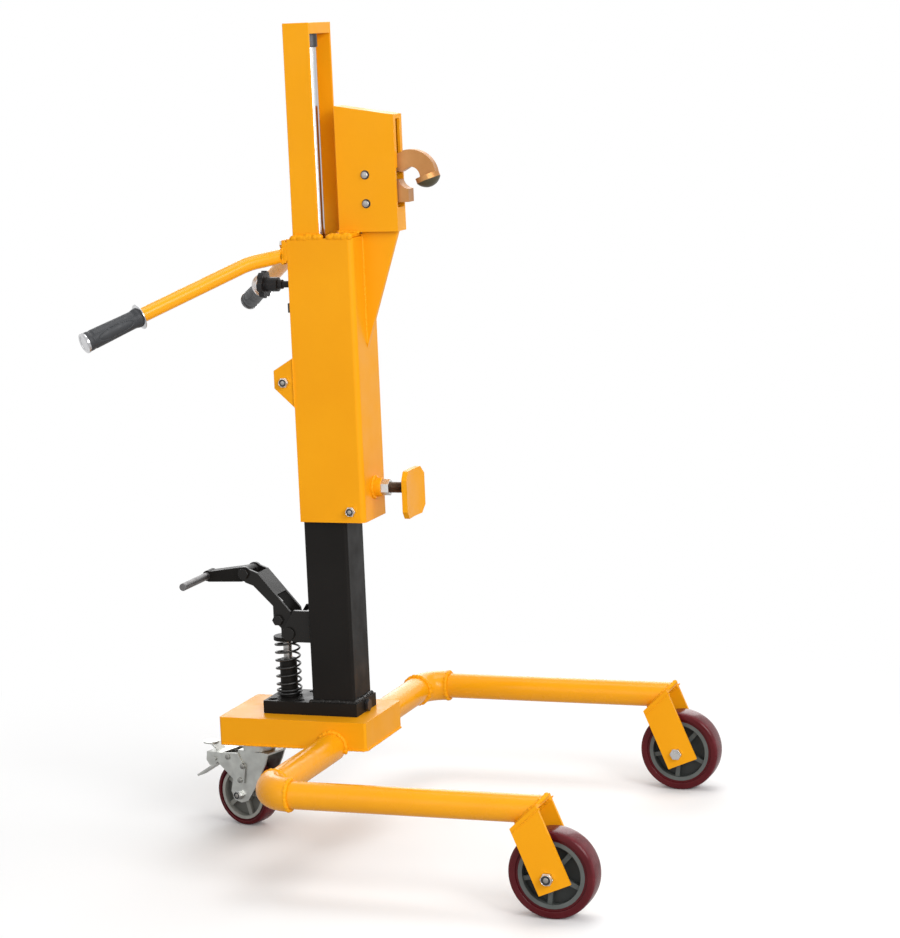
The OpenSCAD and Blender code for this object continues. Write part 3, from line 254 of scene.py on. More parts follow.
def weld_tree():
    """A welder's bead: overlapping flat drops along a path, each a little off its line and size."""
    tree, source, result = new_tree("weld_bead", {
        "Radius": "NodeSocketFloat", "Step": "NodeSocketFloat", "Wander": "NodeSocketFloat",
        "Finish": "NodeSocketMaterial"})
    link = tree.links.new
    line = tree.nodes.new("GeometryNodeMeshToCurve")
    even = tree.nodes.new("GeometryNodeResampleCurve")
    even.mode = "LENGTH"
    link(source.outputs["Geometry"], line.inputs["Mesh"])
    link(line.outputs["Curve"], even.inputs["Curve"])
    link(source.outputs["Step"], even.inputs["Length"])
    drop = tree.nodes.new("GeometryNodeMeshUVSphere")
    drop.inputs["Segments"].default_value = 10
    drop.inputs["Rings"].default_value = 6
    drop.inputs["Radius"].default_value = 1
    size = tree.nodes.new("FunctionNodeRandomValue")
    size.data_type = "FLOAT_VECTOR"
    size.inputs[0].default_value = (1.1, 0.85, 0.85)
    size.inputs[1].default_value = (1.6, 1.1, 1.1)
    size.inputs["Seed"].default_value = 4
    scale = tree.nodes.new("ShaderNodeVectorMath")
    scale.operation = "SCALE"
    link(size.outputs[0], scale.inputs[0])
    link(source.outputs["Radius"], scale.inputs["Scale"])
    way = tree.nodes.new("GeometryNodeInputTangent")
    turn = tree.nodes.new("FunctionNodeAlignRotationToVector")
    turn.axis = "X"
    link(way.outputs["Tangent"], turn.inputs["Vector"])
    place = tree.nodes.new("FunctionNodeRandomValue")
    place.data_type = "FLOAT_VECTOR"
    place.inputs[0].default_value = (-1, -1, -1)
    place.inputs[1].default_value = (1, 1, 1)
    place.inputs["Seed"].default_value = 9
    wander = tree.nodes.new("ShaderNodeVectorMath")
    wander.operation = "SCALE"
    link(place.outputs[0], wander.inputs[0])
    link(source.outputs["Wander"], wander.inputs["Scale"])
    moved = tree.nodes.new("GeometryNodeSetPosition")
    link(even.outputs["Curve"], moved.inputs["Geometry"])
    link(wander.outputs["Vector"], moved.inputs["Offset"])
    drops = tree.nodes.new("GeometryNodeInstanceOnPoints")
    link(moved.outputs["Geometry"], drops.inputs["Points"])
    link(drop.outputs["Mesh"], drops.inputs["Instance"])
    link(turn.outputs["Rotation"], drops.inputs["Rotation"])
    link(scale.outputs["Vector"], drops.inputs["Scale"])
    real = tree.nodes.new("GeometryNodeRealizeInstances")
    smooth = tree.nodes.new("GeometryNodeSetShadeSmooth")
    painted = tree.nodes.new("GeometryNodeSetMaterial")
    link(drops.outputs["Instances"], real.inputs["Geometry"])
    link(real.outputs["Geometry"], smooth.inputs["Geometry"])
    link(smooth.outputs["Geometry"], painted.inputs["Geometry"])
    link(source.outputs["Finish"], painted.inputs["Material"])
    link(painted.outputs["Geometry"], result.inputs["Geometry"])
    return tree


weld = weld_tree()


def path_mesh(name, line):
    """A mesh of bare edges along a line of points."""
    mesh = bpy.data.meshes.new(name)
    mesh.from_pydata(line, [(k, k + 1) for k in range(len(line) - 1)], [])
    return mesh


def joined(name, meshes):
    """Several meshes as one."""
    work = bmesh.new()
    for part in meshes:
        work.from_mesh(part)
    return meshed(name, work)


def add_welds(name, body, slot, finish, beads):
    """Weld beads on one body. Each bead is its radius in millimetres and its line of points."""
    drop_step = 0.8
    drop_wander = 0.14
    parts = []
    for radius, line in beads:
        parts.append(grown(name, path_mesh(name, line), weld, {
            "Radius": radius * mm, "Step": drop_step * radius * mm,
            "Wander": drop_wander * radius * mm, "Finish": finish}))
    mesh = joined(name, parts)
    mesh.shade_smooth()
    add_piece(name, mesh, finish, body=body, slot=slot)


def straight(radius, start, end):
    """A straight weld bead between two points."""
    return radius, [Vector(start), Vector(end)]


def ring(centre, across, radius, start=0, end=360, steps=48):
    """Points round a centre in an upright plane, with degrees counted from its level direction."""
    points = []
    for k in range(steps + 1):
        angle = math.radians(start + (end - start) * k / steps)
        points.append(Vector(centre) + radius * (math.cos(angle) * across + math.sin(angle) * upward))
    return points


forward = Vector((1, 0, 0))
leftward = Vector((0, 1, 0))
upward = Vector((0, 0, 1))
base_low, base_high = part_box("base_box")
leg_low, leg_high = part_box("left_leg")
elbow_tube = 58 * mm
cross_tube = 52 * mm
leg_y = (leg_low.y + leg_high.y) / 2
leg_z = (leg_low.z + leg_high.z) / 2
leg_tube = leg_high.z - leg_low.z
cross_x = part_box("cross_tubes")[0].x + elbow_tube / 2
elbow_y = leg_y - (leg_low.x - cross_x)
fork_lean = math.radians(22.5)
fork_up = 110 * mm
fork_fore = 2.5 * mm
fork_low, fork_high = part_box("left_fork")
fork_half = (fork_high.y - fork_low.y) / 2
bridge_slope = math.radians(42.5)
axle = joint_at["left_wheel_spin"]
bridge_x = axle.x - fork_up * math.sin(fork_lean) + fork_fore * math.cos(fork_lean)
bridge_z = axle.z + fork_up * math.cos(fork_lean) + fork_fore * math.sin(fork_lean)


def bridge_ring(side):
    """The line where a leg tube meets its fork's sloping bridge."""
    points = []
    for point in ring((0, side * leg_y, leg_z), leftward, leg_tube / 2):
        points.append(Vector((bridge_x + (point.z - bridge_z) / math.tan(bridge_slope), point.y, point.z)))
    return points


def bridge_seam(radius, y, reach):
    """A straight bead along a fork's side, a little below its sloping bridge."""
    drop = 8 * mm
    along = Vector((math.cos(bridge_slope), 0, math.sin(bridge_slope)))
    down = Vector((math.sin(bridge_slope), 0, -math.cos(bridge_slope)))
    middle = Vector((bridge_x, y, bridge_z)) + drop * down
    return straight(radius, middle - reach * along, middle + reach * along)


below_middle = math.degrees(math.asin((leg_z - base_low.z) / (cross_tube / 2)))
rim_z = base_low.z + 1.5 * mm
rim_back = base_low.x + 5 * mm
rim_corner = 6 * mm
leg_beads = []
for side in (-1, 1):
    base_side = (cross_x, side * (base_high.y + 1.5 * mm), leg_z)
    leg_beads.append((4.5, ring(base_side, forward, cross_tube / 2 + 1 * mm,
                                -below_middle, 180 + below_middle)))
    leg_beads.append((4.2, ring((cross_x, side * elbow_y, leg_z), forward, cross_tube / 2 + 0.6 * mm)))
    leg_beads.append((4.4, ring((leg_low.x, side * leg_y, leg_z), leftward, leg_tube / 2 + 1.6 * mm)))
    leg_beads.append((4.2, bridge_ring(side)))
    rim_y = side * base_high.y
    leg_beads.append(straight(2.2, (rim_back, rim_y, rim_z), (base_high.x - rim_corner, rim_y, rim_z)))
    for face in (-1, 1):
        leg_beads.append(bridge_seam(1.3, side * leg_y + face * fork_half, 31 * mm))
        leg_beads.append(bridge_seam(3.0, side * leg_y + face * (fork_half - 7 * mm), 26 * mm))
leg_beads.append(straight(2.2, (base_high.x, base_low.y + rim_corner, rim_z),
                          (base_high.x, base_high.y - rim_corner, rim_z)))
add_welds("base_welds", "chassis", "yellow_paint", yellow_paint, leg_beads)

# The front wheels have a maroon polyurethane tyre cast round a grey ribbed hub, on two ball bearings.
# The sidewall is stepped near the hub, and the tread is paler, partly from dust where it has rolled on floors and
# partly as a painted sheen.


def skinned(name, rows, crease, capped=True):
    """A smooth skin over rings of points, creased above an angle in degrees and closed by flat ends.

    Where it isn't capped, points in the same place are merged, so that a ring of no radius closes an end.
    """
    same_point = 0.001 * mm
    work = bmesh.new()
    rings = [[work.verts.new(point) for point in row] for row in rows]
    steps = len(rings[0])
    for low, high in zip(rings, rings[1:]):
        for k in range(steps):
            work.faces.new((low[k], low[(k + 1) % steps], high[(k + 1) % steps], high[k]))
    if capped:
        work.faces.new(rings[0])
        work.faces.new(list(reversed(rings[-1])))
    else:
        bmesh.ops.remove_doubles(work, verts=work.verts, dist=same_point)
    bmesh.ops.recalc_face_normals(work, faces=work.faces)
    mesh = meshed(name, work)
    mesh.shade_smooth()
    mesh.set_sharp_from_angle(angle=math.radians(crease))
    return mesh


def round_angles(steps):
    """The angles of even steps round a circle."""
    return [2 * math.pi * k / steps for k in range(steps)]


def turned(name, profile, centre, axis, steps=96):
    """A lathe-turned shape about an axis. The profile is (radius, height along the axis) in metres."""
    spin = upward.rotation_difference(Vector(axis)).to_matrix()
    rows = []
    for radius, height in profile:
        row = [Vector((radius * math.cos(angle), radius * math.sin(angle), height))
               for angle in round_angles(steps)]
        rows.append([Vector(centre) + spin @ point for point in row])
    return skinned(name, rows, 35, capped=False)


def arc(centre, radius, start, end, steps):
    """Points of a profile's round corner, with the angles in degrees."""
    angles = [math.radians(start + (end - start) * k / steps) for k in range(steps + 1)]
    return [(centre[0] + radius * math.cos(a), centre[1] + radius * math.sin(a)) for a in angles]


def stored(tree, name):
    """A value that the mesh keeps under a name, from 0 to 1."""
    value = tree.nodes.new("ShaderNodeAttribute")
    value.attribute_name = name
    return value.outputs["Fac"]


def math_node(tree, operation, first, second):
    """What a Math node makes of two values."""
    node = tree.nodes.new("ShaderNodeMath")
    node.operation = operation
    tree.links.new(first, node.inputs[0])
    tree.links.new(second, node.inputs[1])
    return node.outputs["Value"]


def polyurethane():
    """Cast plastic with a thin glossy skin, deep maroon on the sidewalls and paler on the tread, partly from dust
    and partly as painted sheen.
    """
    finish, tree, shader = new_finish("tyre_polyurethane")
    maroon = clouds(tree, 22, 4, (0.098, 0.009, 0.012), (0.075, 0.006, 0.009))
    # The tread's paler colour is partly dust and partly a painted sheen.
    tread_dust_and_sheen = math_node(tree, "MULTIPLY", stored(tree, "tread"), spread(tree, noise(tree, 90, 6), 0.1, 0.5))
    tree.links.new(mixed(tree, tread_dust_and_sheen, maroon, (0.20, 0.035, 0.045)), shader.inputs["Base Color"])
    uneven_gloss(tree, shader, 45, 5, 0.2, 0.34)
    shader.inputs["Specular IOR Level"].default_value = 0.05
    shader.inputs["Coat Weight"].default_value = 0.3
    shader.inputs["Coat Roughness"].default_value = 0.14
    relief(tree, shader, noise(tree, 700, 2), 0.15 * mm, 0.12)
    return finish


tyre_finish = polyurethane()


def tyre_profile(radius, width, inner, step):
    """A tyre's section: recessed lip, step, sidewall, round shoulder and crowned tread, then mirrored."""
    half = width / 2
    lip = 3.2 * mm
    corner = 1.2 * mm
    shoulder = 5 * mm
    crown = 0.6 * mm
    crown_width = 6 * mm
    side = [(inner, 0), (inner, half - lip), (step - 1 * mm, half - lip)]
    side += arc((step + 0.6 * mm, half - corner), corner, 180, 90, 4)
    side += arc((radius - shoulder - crown, half - shoulder), shoulder, 80, 8, 7)
    side += [(radius, half - shoulder - crown_width), (radius, 0)]
    return side + [(r, -h) for r, h in reversed(side[:-1])]


def add_tyre(node, centre, axis, width, inner, step):
    """A wheel's tyre, with how far each point lies on the tread kept for the finish."""
    tread_from = 0.93
    tread_blend = 0.05
    low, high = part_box(node)
    radius = (high.z - low.z) / 2
    mesh = turned(node, tyre_profile(radius, width, inner, step), centre, axis, 144)
    tread = mesh.attributes.new("tread", "FLOAT", "POINT")
    way = axis.normalized()
    for vertex in mesh.vertices:
        reach = (vertex.co - centre).cross(way).length
        tread.data[vertex.index].value = min(max((reach / radius - tread_from) / tread_blend, 0), 1)
    add_piece(node + "_finished", mesh, tyre_finish, node)


tyre_width = 44 * mm
tyre_inner = 58 * mm
tyre_step = 63 * mm
for side in ("right", "left"):
    add_tyre(side + "_tyre", joint_at[side + "_wheel_spin"], leftward, tyre_width, tyre_inner, tyre_step)


def moulded(name, colour, pale, gloss, shine=0.5):
    """Moulded plastic with a fine grain, dusty in its clouds."""
    finish, tree, shader = new_finish(name)
    tree.links.new(clouds(tree, 35, 5, colour, pale), shader.inputs["Base Color"])
    uneven_gloss(tree, shader, 80, 4, gloss - 0.08, gloss + 0.1)
    shader.inputs["Specular IOR Level"].default_value = shine
    relief(tree, shader, noise(tree, 900, 3), 0.1 * mm, 0.3)
    return finish


def shaded_hub(name, colour, pale, deep):
    """A moulded hub whose recesses between the ribs are darkened as painted shade, more the deeper they lie."""
    finish = moulded(name, colour, pale, 0.5)
    tree = finish.node_tree
    colour_input = tree.nodes["Principled BSDF"].inputs["Base Color"]
    tone = colour_input.links[0].from_socket
    tree.links.new(mixed(tree, stored(tree, "painted_recess_shade"), tone, deep), colour_input)
    return finish


def add_hub(node, centre, axis, finish):
    """A wheel's hub, with how deep each point lies under its rim kept for the finish's painted shade."""
    edge_radius = 1.2 * mm
    rim_from = 0.92
    deepest = 1.2
    fade = 1.5
    mesh = softened(node, edge_radius)
    way = axis.normalized()
    across = [abs((vertex.co - centre).dot(way)) for vertex in mesh.vertices]
    reach = [(vertex.co - centre).cross(way).length for vertex in mesh.vertices]
    half = max(across)
    rim = rim_from * max(reach)
    painted_recess_shade = mesh.attributes.new("painted_recess_shade", "FLOAT", "POINT")
    for k, (height, out) in enumerate(zip(across, reach)):
        painted_recess_shade.data[k].value = min(max(deepest - fade * height / half, 0), 1) if out < rim else 0
    add_piece(node + "_finished", mesh, finish, node)


# The hub's third colour is the painted shade deep in its recesses.
hub_finish = shaded_hub("hub_grey", (0.080, 0.090, 0.085), (0.105, 0.115, 0.11), (0.010, 0.012, 0.011))
for side in ("right", "left"):
    add_hub(side + "_hub", joint_at[side + "_wheel_spin"], leftward, hub_finish)


def plated(name, colour, deep, gloss, metal=1.0, streak_stretch=(1, 1, 1), grain=0.08):
    """Bright plated steel, cloudy like zinc or with its tone streaked along one way."""
    finish, tree, shader = new_finish(name)
    tree.links.new(clouds(tree, 55, 5, colour, deep, streak_stretch), shader.inputs["Base Color"])
    shader.inputs["Metallic"].default_value = metal
    uneven_gloss(tree, shader, 90, 5, gloss - 0.07, gloss + 0.1, streak_stretch)
    if grain:
        relief(tree, shader, noise(tree, 250, 3, streak_stretch), 0.06 * mm, grain)
    return finish


zinc_finish = plated("zinc_plate", (0.72, 0.72, 0.71), (0.55, 0.56, 0.56), 0.26)
add_eased(zinc_finish, {"right_bearings": 0.6, "left_bearings": 0.6, "front_axles": 0.9})


def fastener_tree():
    """Copies of one small shape on points, each turned along its point's axis and of its point's size."""
    tree, source, result = new_tree("fasteners", {
        "Shape": "NodeSocketObject", "Finish": "NodeSocketMaterial"})
    link = tree.links.new
    shape = tree.nodes.new("GeometryNodeObjectInfo")
    link(source.outputs["Shape"], shape.inputs["Object"])
    axis = tree.nodes.new("GeometryNodeInputNamedAttribute")
    axis.data_type = "FLOAT_VECTOR"
    axis.inputs["Name"].default_value = "axis"
    size = tree.nodes.new("GeometryNodeInputNamedAttribute")
    size.data_type = "FLOAT"
    size.inputs["Name"].default_value = "size"
    turn = tree.nodes.new("FunctionNodeAlignRotationToVector")
    turn.axis = "Z"
    link(axis.outputs["Attribute"], turn.inputs["Vector"])
    copies = tree.nodes.new("GeometryNodeInstanceOnPoints")
    link(source.outputs["Geometry"], copies.inputs["Points"])
    link(shape.outputs["Geometry"], copies.inputs["Instance"])
    link(turn.outputs["Rotation"], copies.inputs["Rotation"])
    link(size.outputs["Attribute"], copies.inputs["Scale"])
    real = tree.nodes.new("GeometryNodeRealizeInstances")
    painted = tree.nodes.new("GeometryNodeSetMaterial")
    link(copies.outputs["Instances"], real.inputs["Geometry"])
    link(real.outputs["Geometry"], painted.inputs["Geometry"])
    link(source.outputs["Finish"], painted.inputs["Material"])
    link(painted.outputs["Geometry"], result.inputs["Geometry"])
    return tree


fasteners = fastener_tree()


def add_copies(name, body, slot, finish, profile, places):
    """Turned shapes on one body. A place is its point, its axis and its size; the profile is in sizes."""
    shape = name + "_shape"
    steps = 24
    prototype = placed(shape, turned(shape, profile, (0, 0, 0), upward, steps))
    points = bpy.data.meshes.new(name)
    points.from_pydata([place[0] for place in places], [], [])
    points.attributes.new("axis", "FLOAT_VECTOR", "POINT")
    points.attributes.new("size", "FLOAT", "POINT")
    for k, (_, axis, size) in enumerate(places):
        points.attributes["axis"].data[k].vector = axis
        points.attributes["size"].data[k].value = size
    mesh = grown(name, points, fasteners, {"Shape": prototype, "Finish": finish})
    bpy.data.objects.remove(prototype)
    add_piece(name, mesh, finish, body=body, slot=slot)


collar = [(0.48, 0), (0.48, 0.10), (0.47, 0.15), (0.45, 0.185), (0.425, 0.19), (0.415, 0.18), (0.415, 0)]
insert = [(0.42, 0.15), (0.215, 0.15), (0.21, 0.1)]
thread_end = [(0, 0.165), (0.19, 0.165), (0.225, 0.15), (0.225, 0.1)]
ring_nylon = moulded("lock_ring", (0.012, 0.012, 0.014), (0.018, 0.018, 0.02), 0.5)
thread_steel = plated("thread_steel", (0.36, 0.345, 0.32), (0.26, 0.25, 0.235), 0.4)


def add_lock_nuts(name, body, places):
    """The collar of each lock nut, the dark ring in it that grips the thread, and the thread's end."""
    add_copies(name + "_collars", body, "zinc", zinc_finish, collar, places)
    add_copies(name + "_rings", body, "zinc", ring_nylon, insert, places)
    add_copies(name + "_threads", body, "zinc", thread_steel, thread_end, places)


axle_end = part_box("front_axles")[1].y
axle_d = 12 * mm
hex_ratio = 1.65
bolt_over = 0.2
axle_nuts = []
for side in (-1, 1):
    face = side * axle_end - side * bolt_over * axle_d
    axle_nuts.append((Vector((axle.x, face, axle.z)), side * leftward, hex_ratio * axle_d))
add_lock_nuts("axle", "chassis", axle_nuts)

# The caster is a pressed zinc-plated fork under a ball race, with riveted brake plates and a pedal that
# presses on the tyre. Its wheel is the front wheels' smaller cousin, on a pale grey hub.
caster_zinc = plated("caster_zinc", (0.55, 0.56, 0.53), (0.42, 0.425, 0.405), 0.36)
add_eased(caster_zinc, {"caster_plate": 0.8, "caster_fork": 0.8, "brake_pedal": 0.7})
add_eased(zinc_finish, {"caster_axle": 0.7})
rivet_finish = plated("rivet_steel", (0.27, 0.27, 0.255), (0.20, 0.20, 0.19), 0.4)
rivet_head = [(0, 0.3), (0.22, 0.28), (0.4, 0.23), (0.5, 0.13), (0.52, 0.04), (0.52, -0.1)]
rivet_d = 11 * mm
plate_out = 29.5 * mm
crown_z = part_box("caster_fork")[1].z
caster_across = Vector(next(joint["axis"] for joint in frame["joints"] if joint["name"] == "caster_spin"))
caster_along = caster_across.cross(upward)
rivet_places = ((-19, 30), (-27, 58), (-54, 16))
rivets = []
for side in (-1, 1):
    for along, down in rivet_places:
        place = joint_at["caster_swivel"] + along * mm * caster_along + side * plate_out * caster_across
        place.z = crown_z - down * mm
        rivets.append((place, side * caster_across, rivet_d))
add_copies("caster_rivets", "caster", "zinc", rivet_finish, rivet_head, rivets)
wheel_centre = joint_at["caster_spin"]
caster_axle_d = 10 * mm
axle_reach = max((wheel_centre - vertex.co).dot(caster_across)
                 for vertex in frame["nodes"]["caster_axle"].data.vertices)
nut_place = wheel_centre - (axle_reach - bolt_over * caster_axle_d) * caster_across
add_lock_nuts("caster_axle", "caster", [(nut_place, -caster_across, hex_ratio * caster_axle_d)])
caster_width = 38 * mm
caster_inner = 49 * mm
caster_step = 53 * mm
add_tyre("caster_tyre", wheel_centre, caster_across, caster_width, caster_inner, caster_step)
# The caster hub's third colour is the painted shade deep in its recesses.
pale_hub = shaded_hub("hub_pale", (0.30, 0.30, 0.27), (0.36, 0.36, 0.33), (0.10, 0.10, 0.09))
add_hub("caster_hub", wheel_centre, caster_across, pale_hub)

# The pump's steel block is bolted on the base and carries the square column that everything slides on.
# Both are in satin black paint, with a glossier coat on the weld round the column's foot.
black = ((0.0085, 0.0076, 0.0068), (0.012, 0.0108, 0.0098))
black_paint = powder_coat("black_paint", *black, 0.42, 0.09)
glossy_black = powder_coat("glossy_black", *black, 0.26, 0.2)
add_eased(black_paint, {"column": 2.2, "pump_block": 1.4})
column_low, column_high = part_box("column")
foot_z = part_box("pump_block")[1].z + 0.8 * mm
column_foot = [Vector((x, y, foot_z)) for x, y in (
    (column_low.x, column_low.y), (column_high.x, column_low.y), (column_high.x, column_high.y),
    (column_low.x, column_high.y), (column_low.x, column_low.y))]
bracket_low, bracket_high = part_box("pump_bracket")
bead_margin = 2 * mm
black_beads = [(4.6, column_foot)]
for side in (-1, 1):
    edge = side * bracket_high.y
    black_beads.append(straight(2.2, (column_low.x, edge, bracket_low.z + bead_margin),
                                (column_low.x, edge, bracket_high.z - bead_margin)))
add_welds("column_welds", "chassis", "black_paint", glossy_black, black_beads)
# The block's screws sit near-black in their counterbores, as painted shade in the holes.
screw_painted_shade = moulded("screw_hole_shade", (0.0022, 0.0022, 0.0023), (0.003, 0.003, 0.0032), 0.6, 0.06)
add_eased(screw_painted_shade, {"block_screws": 0.7})
add_eased(zinc_finish, {"base_bolts": 0.7})
steel_finish = plated("bare_steel", (0.40, 0.39, 0.375), (0.31, 0.30, 0.29), 0.36)
dark_steel = plated("dark_steel", (0.085, 0.085, 0.09), (0.06, 0.06, 0.064), 0.42)
add_eased(dark_steel, {"release_valve": 0.6})
add_eased(steel_finish, {"cylinder_tube": 0.6})

# The foot pump is a barrel with a bare steel piston and a return spring round it. A cranked lever of welded
# plate, bolted to a bracket, presses the piston with a roller, and the foot bar folds up on its end.
add_eased(black_paint, {"pump_barrel": 0.8, "piston_cap": 1.3, "pedal_arm": 1.0})
add_eased(glossy_black, {"pump_bracket": 1.3, "lever_bolts": 0.8, "pump_lever": 1.1})
add_eased(steel_finish, {"lever_roller": 0.8, "pump_piston": 0.5})
bar_finish = plated("pedal_steel", (0.19, 0.185, 0.185), (0.14, 0.135, 0.135), 0.5)
add_eased(bar_finish, {"pedal_bar": 1.0})


def swept_tube(name, line, radius, sides=12):
    """A round wire along a line of points, with flat ends."""
    rows = []
    for k, point in enumerate(line):
        way = (line[min(k + 1, len(line) - 1)] - line[max(k - 1, 0)]).normalized()
        out = way.cross(upward).normalized()
        over = out.cross(way)
        rows.append([point + radius * (math.cos(angle) * out + math.sin(angle) * over)
                     for angle in round_angles(sides)])
    return skinned(name, rows, 50)


spring_low, spring_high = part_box("pump_spring")
spring_wire = 4 * mm
spring_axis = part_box("pump_piston")[0].lerp(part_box("pump_piston")[1], 0.5)
spring_radius = (spring_high.y - spring_low.y - spring_wire) / 2
spring_turns = 8
close_turns = 2
close_pitch = spring_wire + 2 * mm
spring_climb = spring_high.z - spring_low.z - spring_wire
open_pitch = (spring_climb - close_turns * close_pitch) / (spring_turns - close_turns)


def spring_point(turn):
    """A point on the spring's wire, whose first turns lie close."""
    close = min(turn, close_turns)
    rise = close * close_pitch + (turn - close) * open_pitch
    angle = 2 * math.pi * turn
    return Vector((spring_axis.x + spring_radius * math.cos(angle), spring_radius * math.sin(angle),
                   spring_low.z + spring_wire / 2 + rise))


spring_steps = 28
spring_line = [spring_point(k / spring_steps) for k in range(spring_turns * spring_steps + 1)]
spring_finish = plated("spring_wire", (0.045, 0.044, 0.043), (0.03, 0.03, 0.03), 0.4, 0.6)
spring = add_piece("pump_spring_finished", swept_tube("pump_spring", spring_line, spring_wire / 2),
                   spring_finish, "pump_spring")
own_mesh(spring)

# The carriage's sleeve is a folded channel that rides on the column on two rollers and nylon pads.
# The upper channel stands on it, welded all round its foot, with a cap that the lift rod pushes up.
add_eased(yellow_paint, {"sleeve": 1.0, "sleeve_top": 2.0, "roller_ears": 1.0, "mast_channel": 1.0,
                         "mast_cap": 1.4})
nylon_finish = moulded("nylon", (0.72, 0.70, 0.64), (0.66, 0.64, 0.58), 0.45)
add_eased(nylon_finish, {"guide_pads": 1.0})
add_eased(steel_finish, {"front_roller": 1.0, "rear_roller": 1.0})
# The chromed rod's colour runs in long streaks from pale to dark grey, as painted reflections.
reflection_streaks = (1.6, 1.6, 0.02)
rod_finish = plated("chromed_rod", (0.74, 0.74, 0.75), (0.16, 0.16, 0.17), 0.16, streak_stretch=reflection_streaks, grain=0)
mast_x = (column_low.x + column_high.x) / 2
rod_low, rod_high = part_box("lift_rod")
rod_top = Vector((mast_x, 0, rod_high.z))
rod_radius = 11 * mm
piston_radius = (rod_high.y - rod_low.y) / 2
piston_height = 30 * mm
piston_low = rod_low.z - rod_high.z
piston_high = piston_low + piston_height
bevel = 1 * mm
rod_profile = [(0, piston_low), (piston_radius, piston_low), (piston_radius, piston_high),
               (rod_radius, piston_high), (rod_radius, -bevel), (rod_radius - bevel, 0), (0, 0)]
add_piece("lift_rod_finished", turned("lift_rod", rod_profile, rod_top, upward), rod_finish, "lift_rod")
collar_low = -24 * mm
collar_radius = rod_radius + 2.2 * mm
collar_profile = [(rod_radius, collar_low), (collar_radius, collar_low + bevel),
                  (collar_radius, 0), (rod_radius, 0)]
rod_ring = turned("rod_collar", collar_profile, rod_top, upward, 48)
add_piece("rod_collar", rod_ring, dark_steel, body=body_of["lift_rod"], slot="chrome")
sleeve_low, sleeve_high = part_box("sleeve")
channel_low, channel_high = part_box("mast_channel")
ear_low, ear_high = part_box("roller_ears")
top_low, top_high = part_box("sleeve_top")
head_low, head_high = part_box("head_box")
gusset_low, gusset_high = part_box("gusset")
boss_low, boss_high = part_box("pad_boss")
channel_back = channel_low.x + 2 * mm
channel_foot = sleeve_high.z + 2 * mm
top_back = top_low.x - 4 * mm
top_front = top_high.x - 4 * mm
top_seam = top_high.z - 5 * mm
ear_margin = 3 * mm
gusset_foot = gusset_low.z + 12 * mm
carriage_beads = []
for side in (-1, 1):
    channel_y = side * channel_high.y
    top_y = side * (top_high.y - 1 * mm)
    ear_y = side * sleeve_high.y
    ear_foot = (ear_high.x, ear_y, ear_low.z + ear_margin)
    ear_top = (ear_high.x, ear_y, ear_high.z - ear_margin)
    gusset_y = side * gusset_high.y
    head_y = side * head_high.y
    carriage_beads += [
        straight(6.2, (channel_back, channel_y, channel_foot), (channel_high.x, channel_y, channel_foot)),
        straight(6.5, (top_back, top_y, top_seam), (top_front, top_y, top_seam)),
        straight(2.0, ear_foot, ear_top),
        straight(3.0, (gusset_low.x, gusset_y, gusset_foot), (gusset_low.x, gusset_y, top_low.z)),
        straight(3.0, (top_high.x, head_y, top_high.z), (head_low.x, head_y, top_high.z))]
boss_middle = Vector((boss_low.x + 1 * mm, 0, (boss_low.z + boss_high.z) / 2))
carriage_beads.append((3.6, ring(boss_middle, leftward, (boss_high.z - boss_low.z) / 2 + 1 * mm)))
add_welds("carriage_welds", "carriage", "yellow_paint", yellow_paint, carriage_beads)
add_eased(zinc_finish, {"carriage_bolts": 0.7})
roller_bolt = 10 * mm
hex_high = 0.65
nut_face = sleeve_low.y - hex_high * roller_bolt
roller_nuts = []
for name in ("front_guide_spin", "rear_guide_spin"):
    place = Vector((joint_at[name].x, nut_face, joint_at[name].z))
    roller_nuts.append((place, -leftward, hex_ratio * roller_bolt))
add_lock_nuts("roller", "carriage", roller_nuts)
stop_z = 972 * mm
stop_corner = Vector((sleeve_low.x - 4 * mm, sleeve_low.y + 0.5 * mm, stop_z))
stop_size = Vector((6, 9, 17)) * mm
stop_place = Matrix.Translation(stop_corner + stop_size / 2) @ Matrix.Diagonal((*stop_size, 1))
work = bmesh.new()
bmesh.ops.create_cube(work, size=1, matrix=stop_place)
bmesh.ops.bevel(work, geom=work.edges, offset=1 * mm, segments=3, profile=0.5, affect="EDGES")
rubber_stop = meshed("rubber_stop", work)
rubber_stop.shade_smooth()
add_piece("rubber_stop", rubber_stop, ring_nylon, body="carriage", slot="rubber")

# The clamp head is a narrow welded box with a slot for the hook, braced by a gusset. Hook and jaw are forged
# and turn on pins through the box. Their yellow chromate plating drifts from gold to pink and green.
add_eased(yellow_paint, {"head_box": 1.0, "gusset": 1.0})


def chromate():
    """Yellow chromate over zinc: a gold film with drifts of pink and green, darkened on the hook tip's dome as
    painted shade.
    """
    finish, tree, shader = new_finish("yellow_chromate")
    gold = clouds(tree, 16, 3, (0.40, 0.18, 0.055), (0.48, 0.23, 0.08))
    pink_share = spread(tree, noise(tree, 30, 2), 0, 0.5, 0.5, 0.75)
    pink = mixed(tree, pink_share, gold, (0.42, 0.16, 0.09))
    green_share = spread(tree, noise(tree, 24, 2, (1.4, 1, 1)), 0, 0.4, 0.55, 0.8)
    green = mixed(tree, green_share, pink, (0.34, 0.26, 0.08))
    dark = mixed(tree, stored(tree, "tip_painted_shade"), green, (0.085, 0.075, 0.045))
    tree.links.new(dark, shader.inputs["Base Color"])
    shader.inputs["Metallic"].default_value = 0.5
    shader.inputs["Specular IOR Level"].default_value = 0.25
    uneven_gloss(tree, shader, 70, 5, 0.34, 0.5)
    relief(tree, shader, noise(tree, 260, 4), 0.2 * mm, 0.3)
    return finish


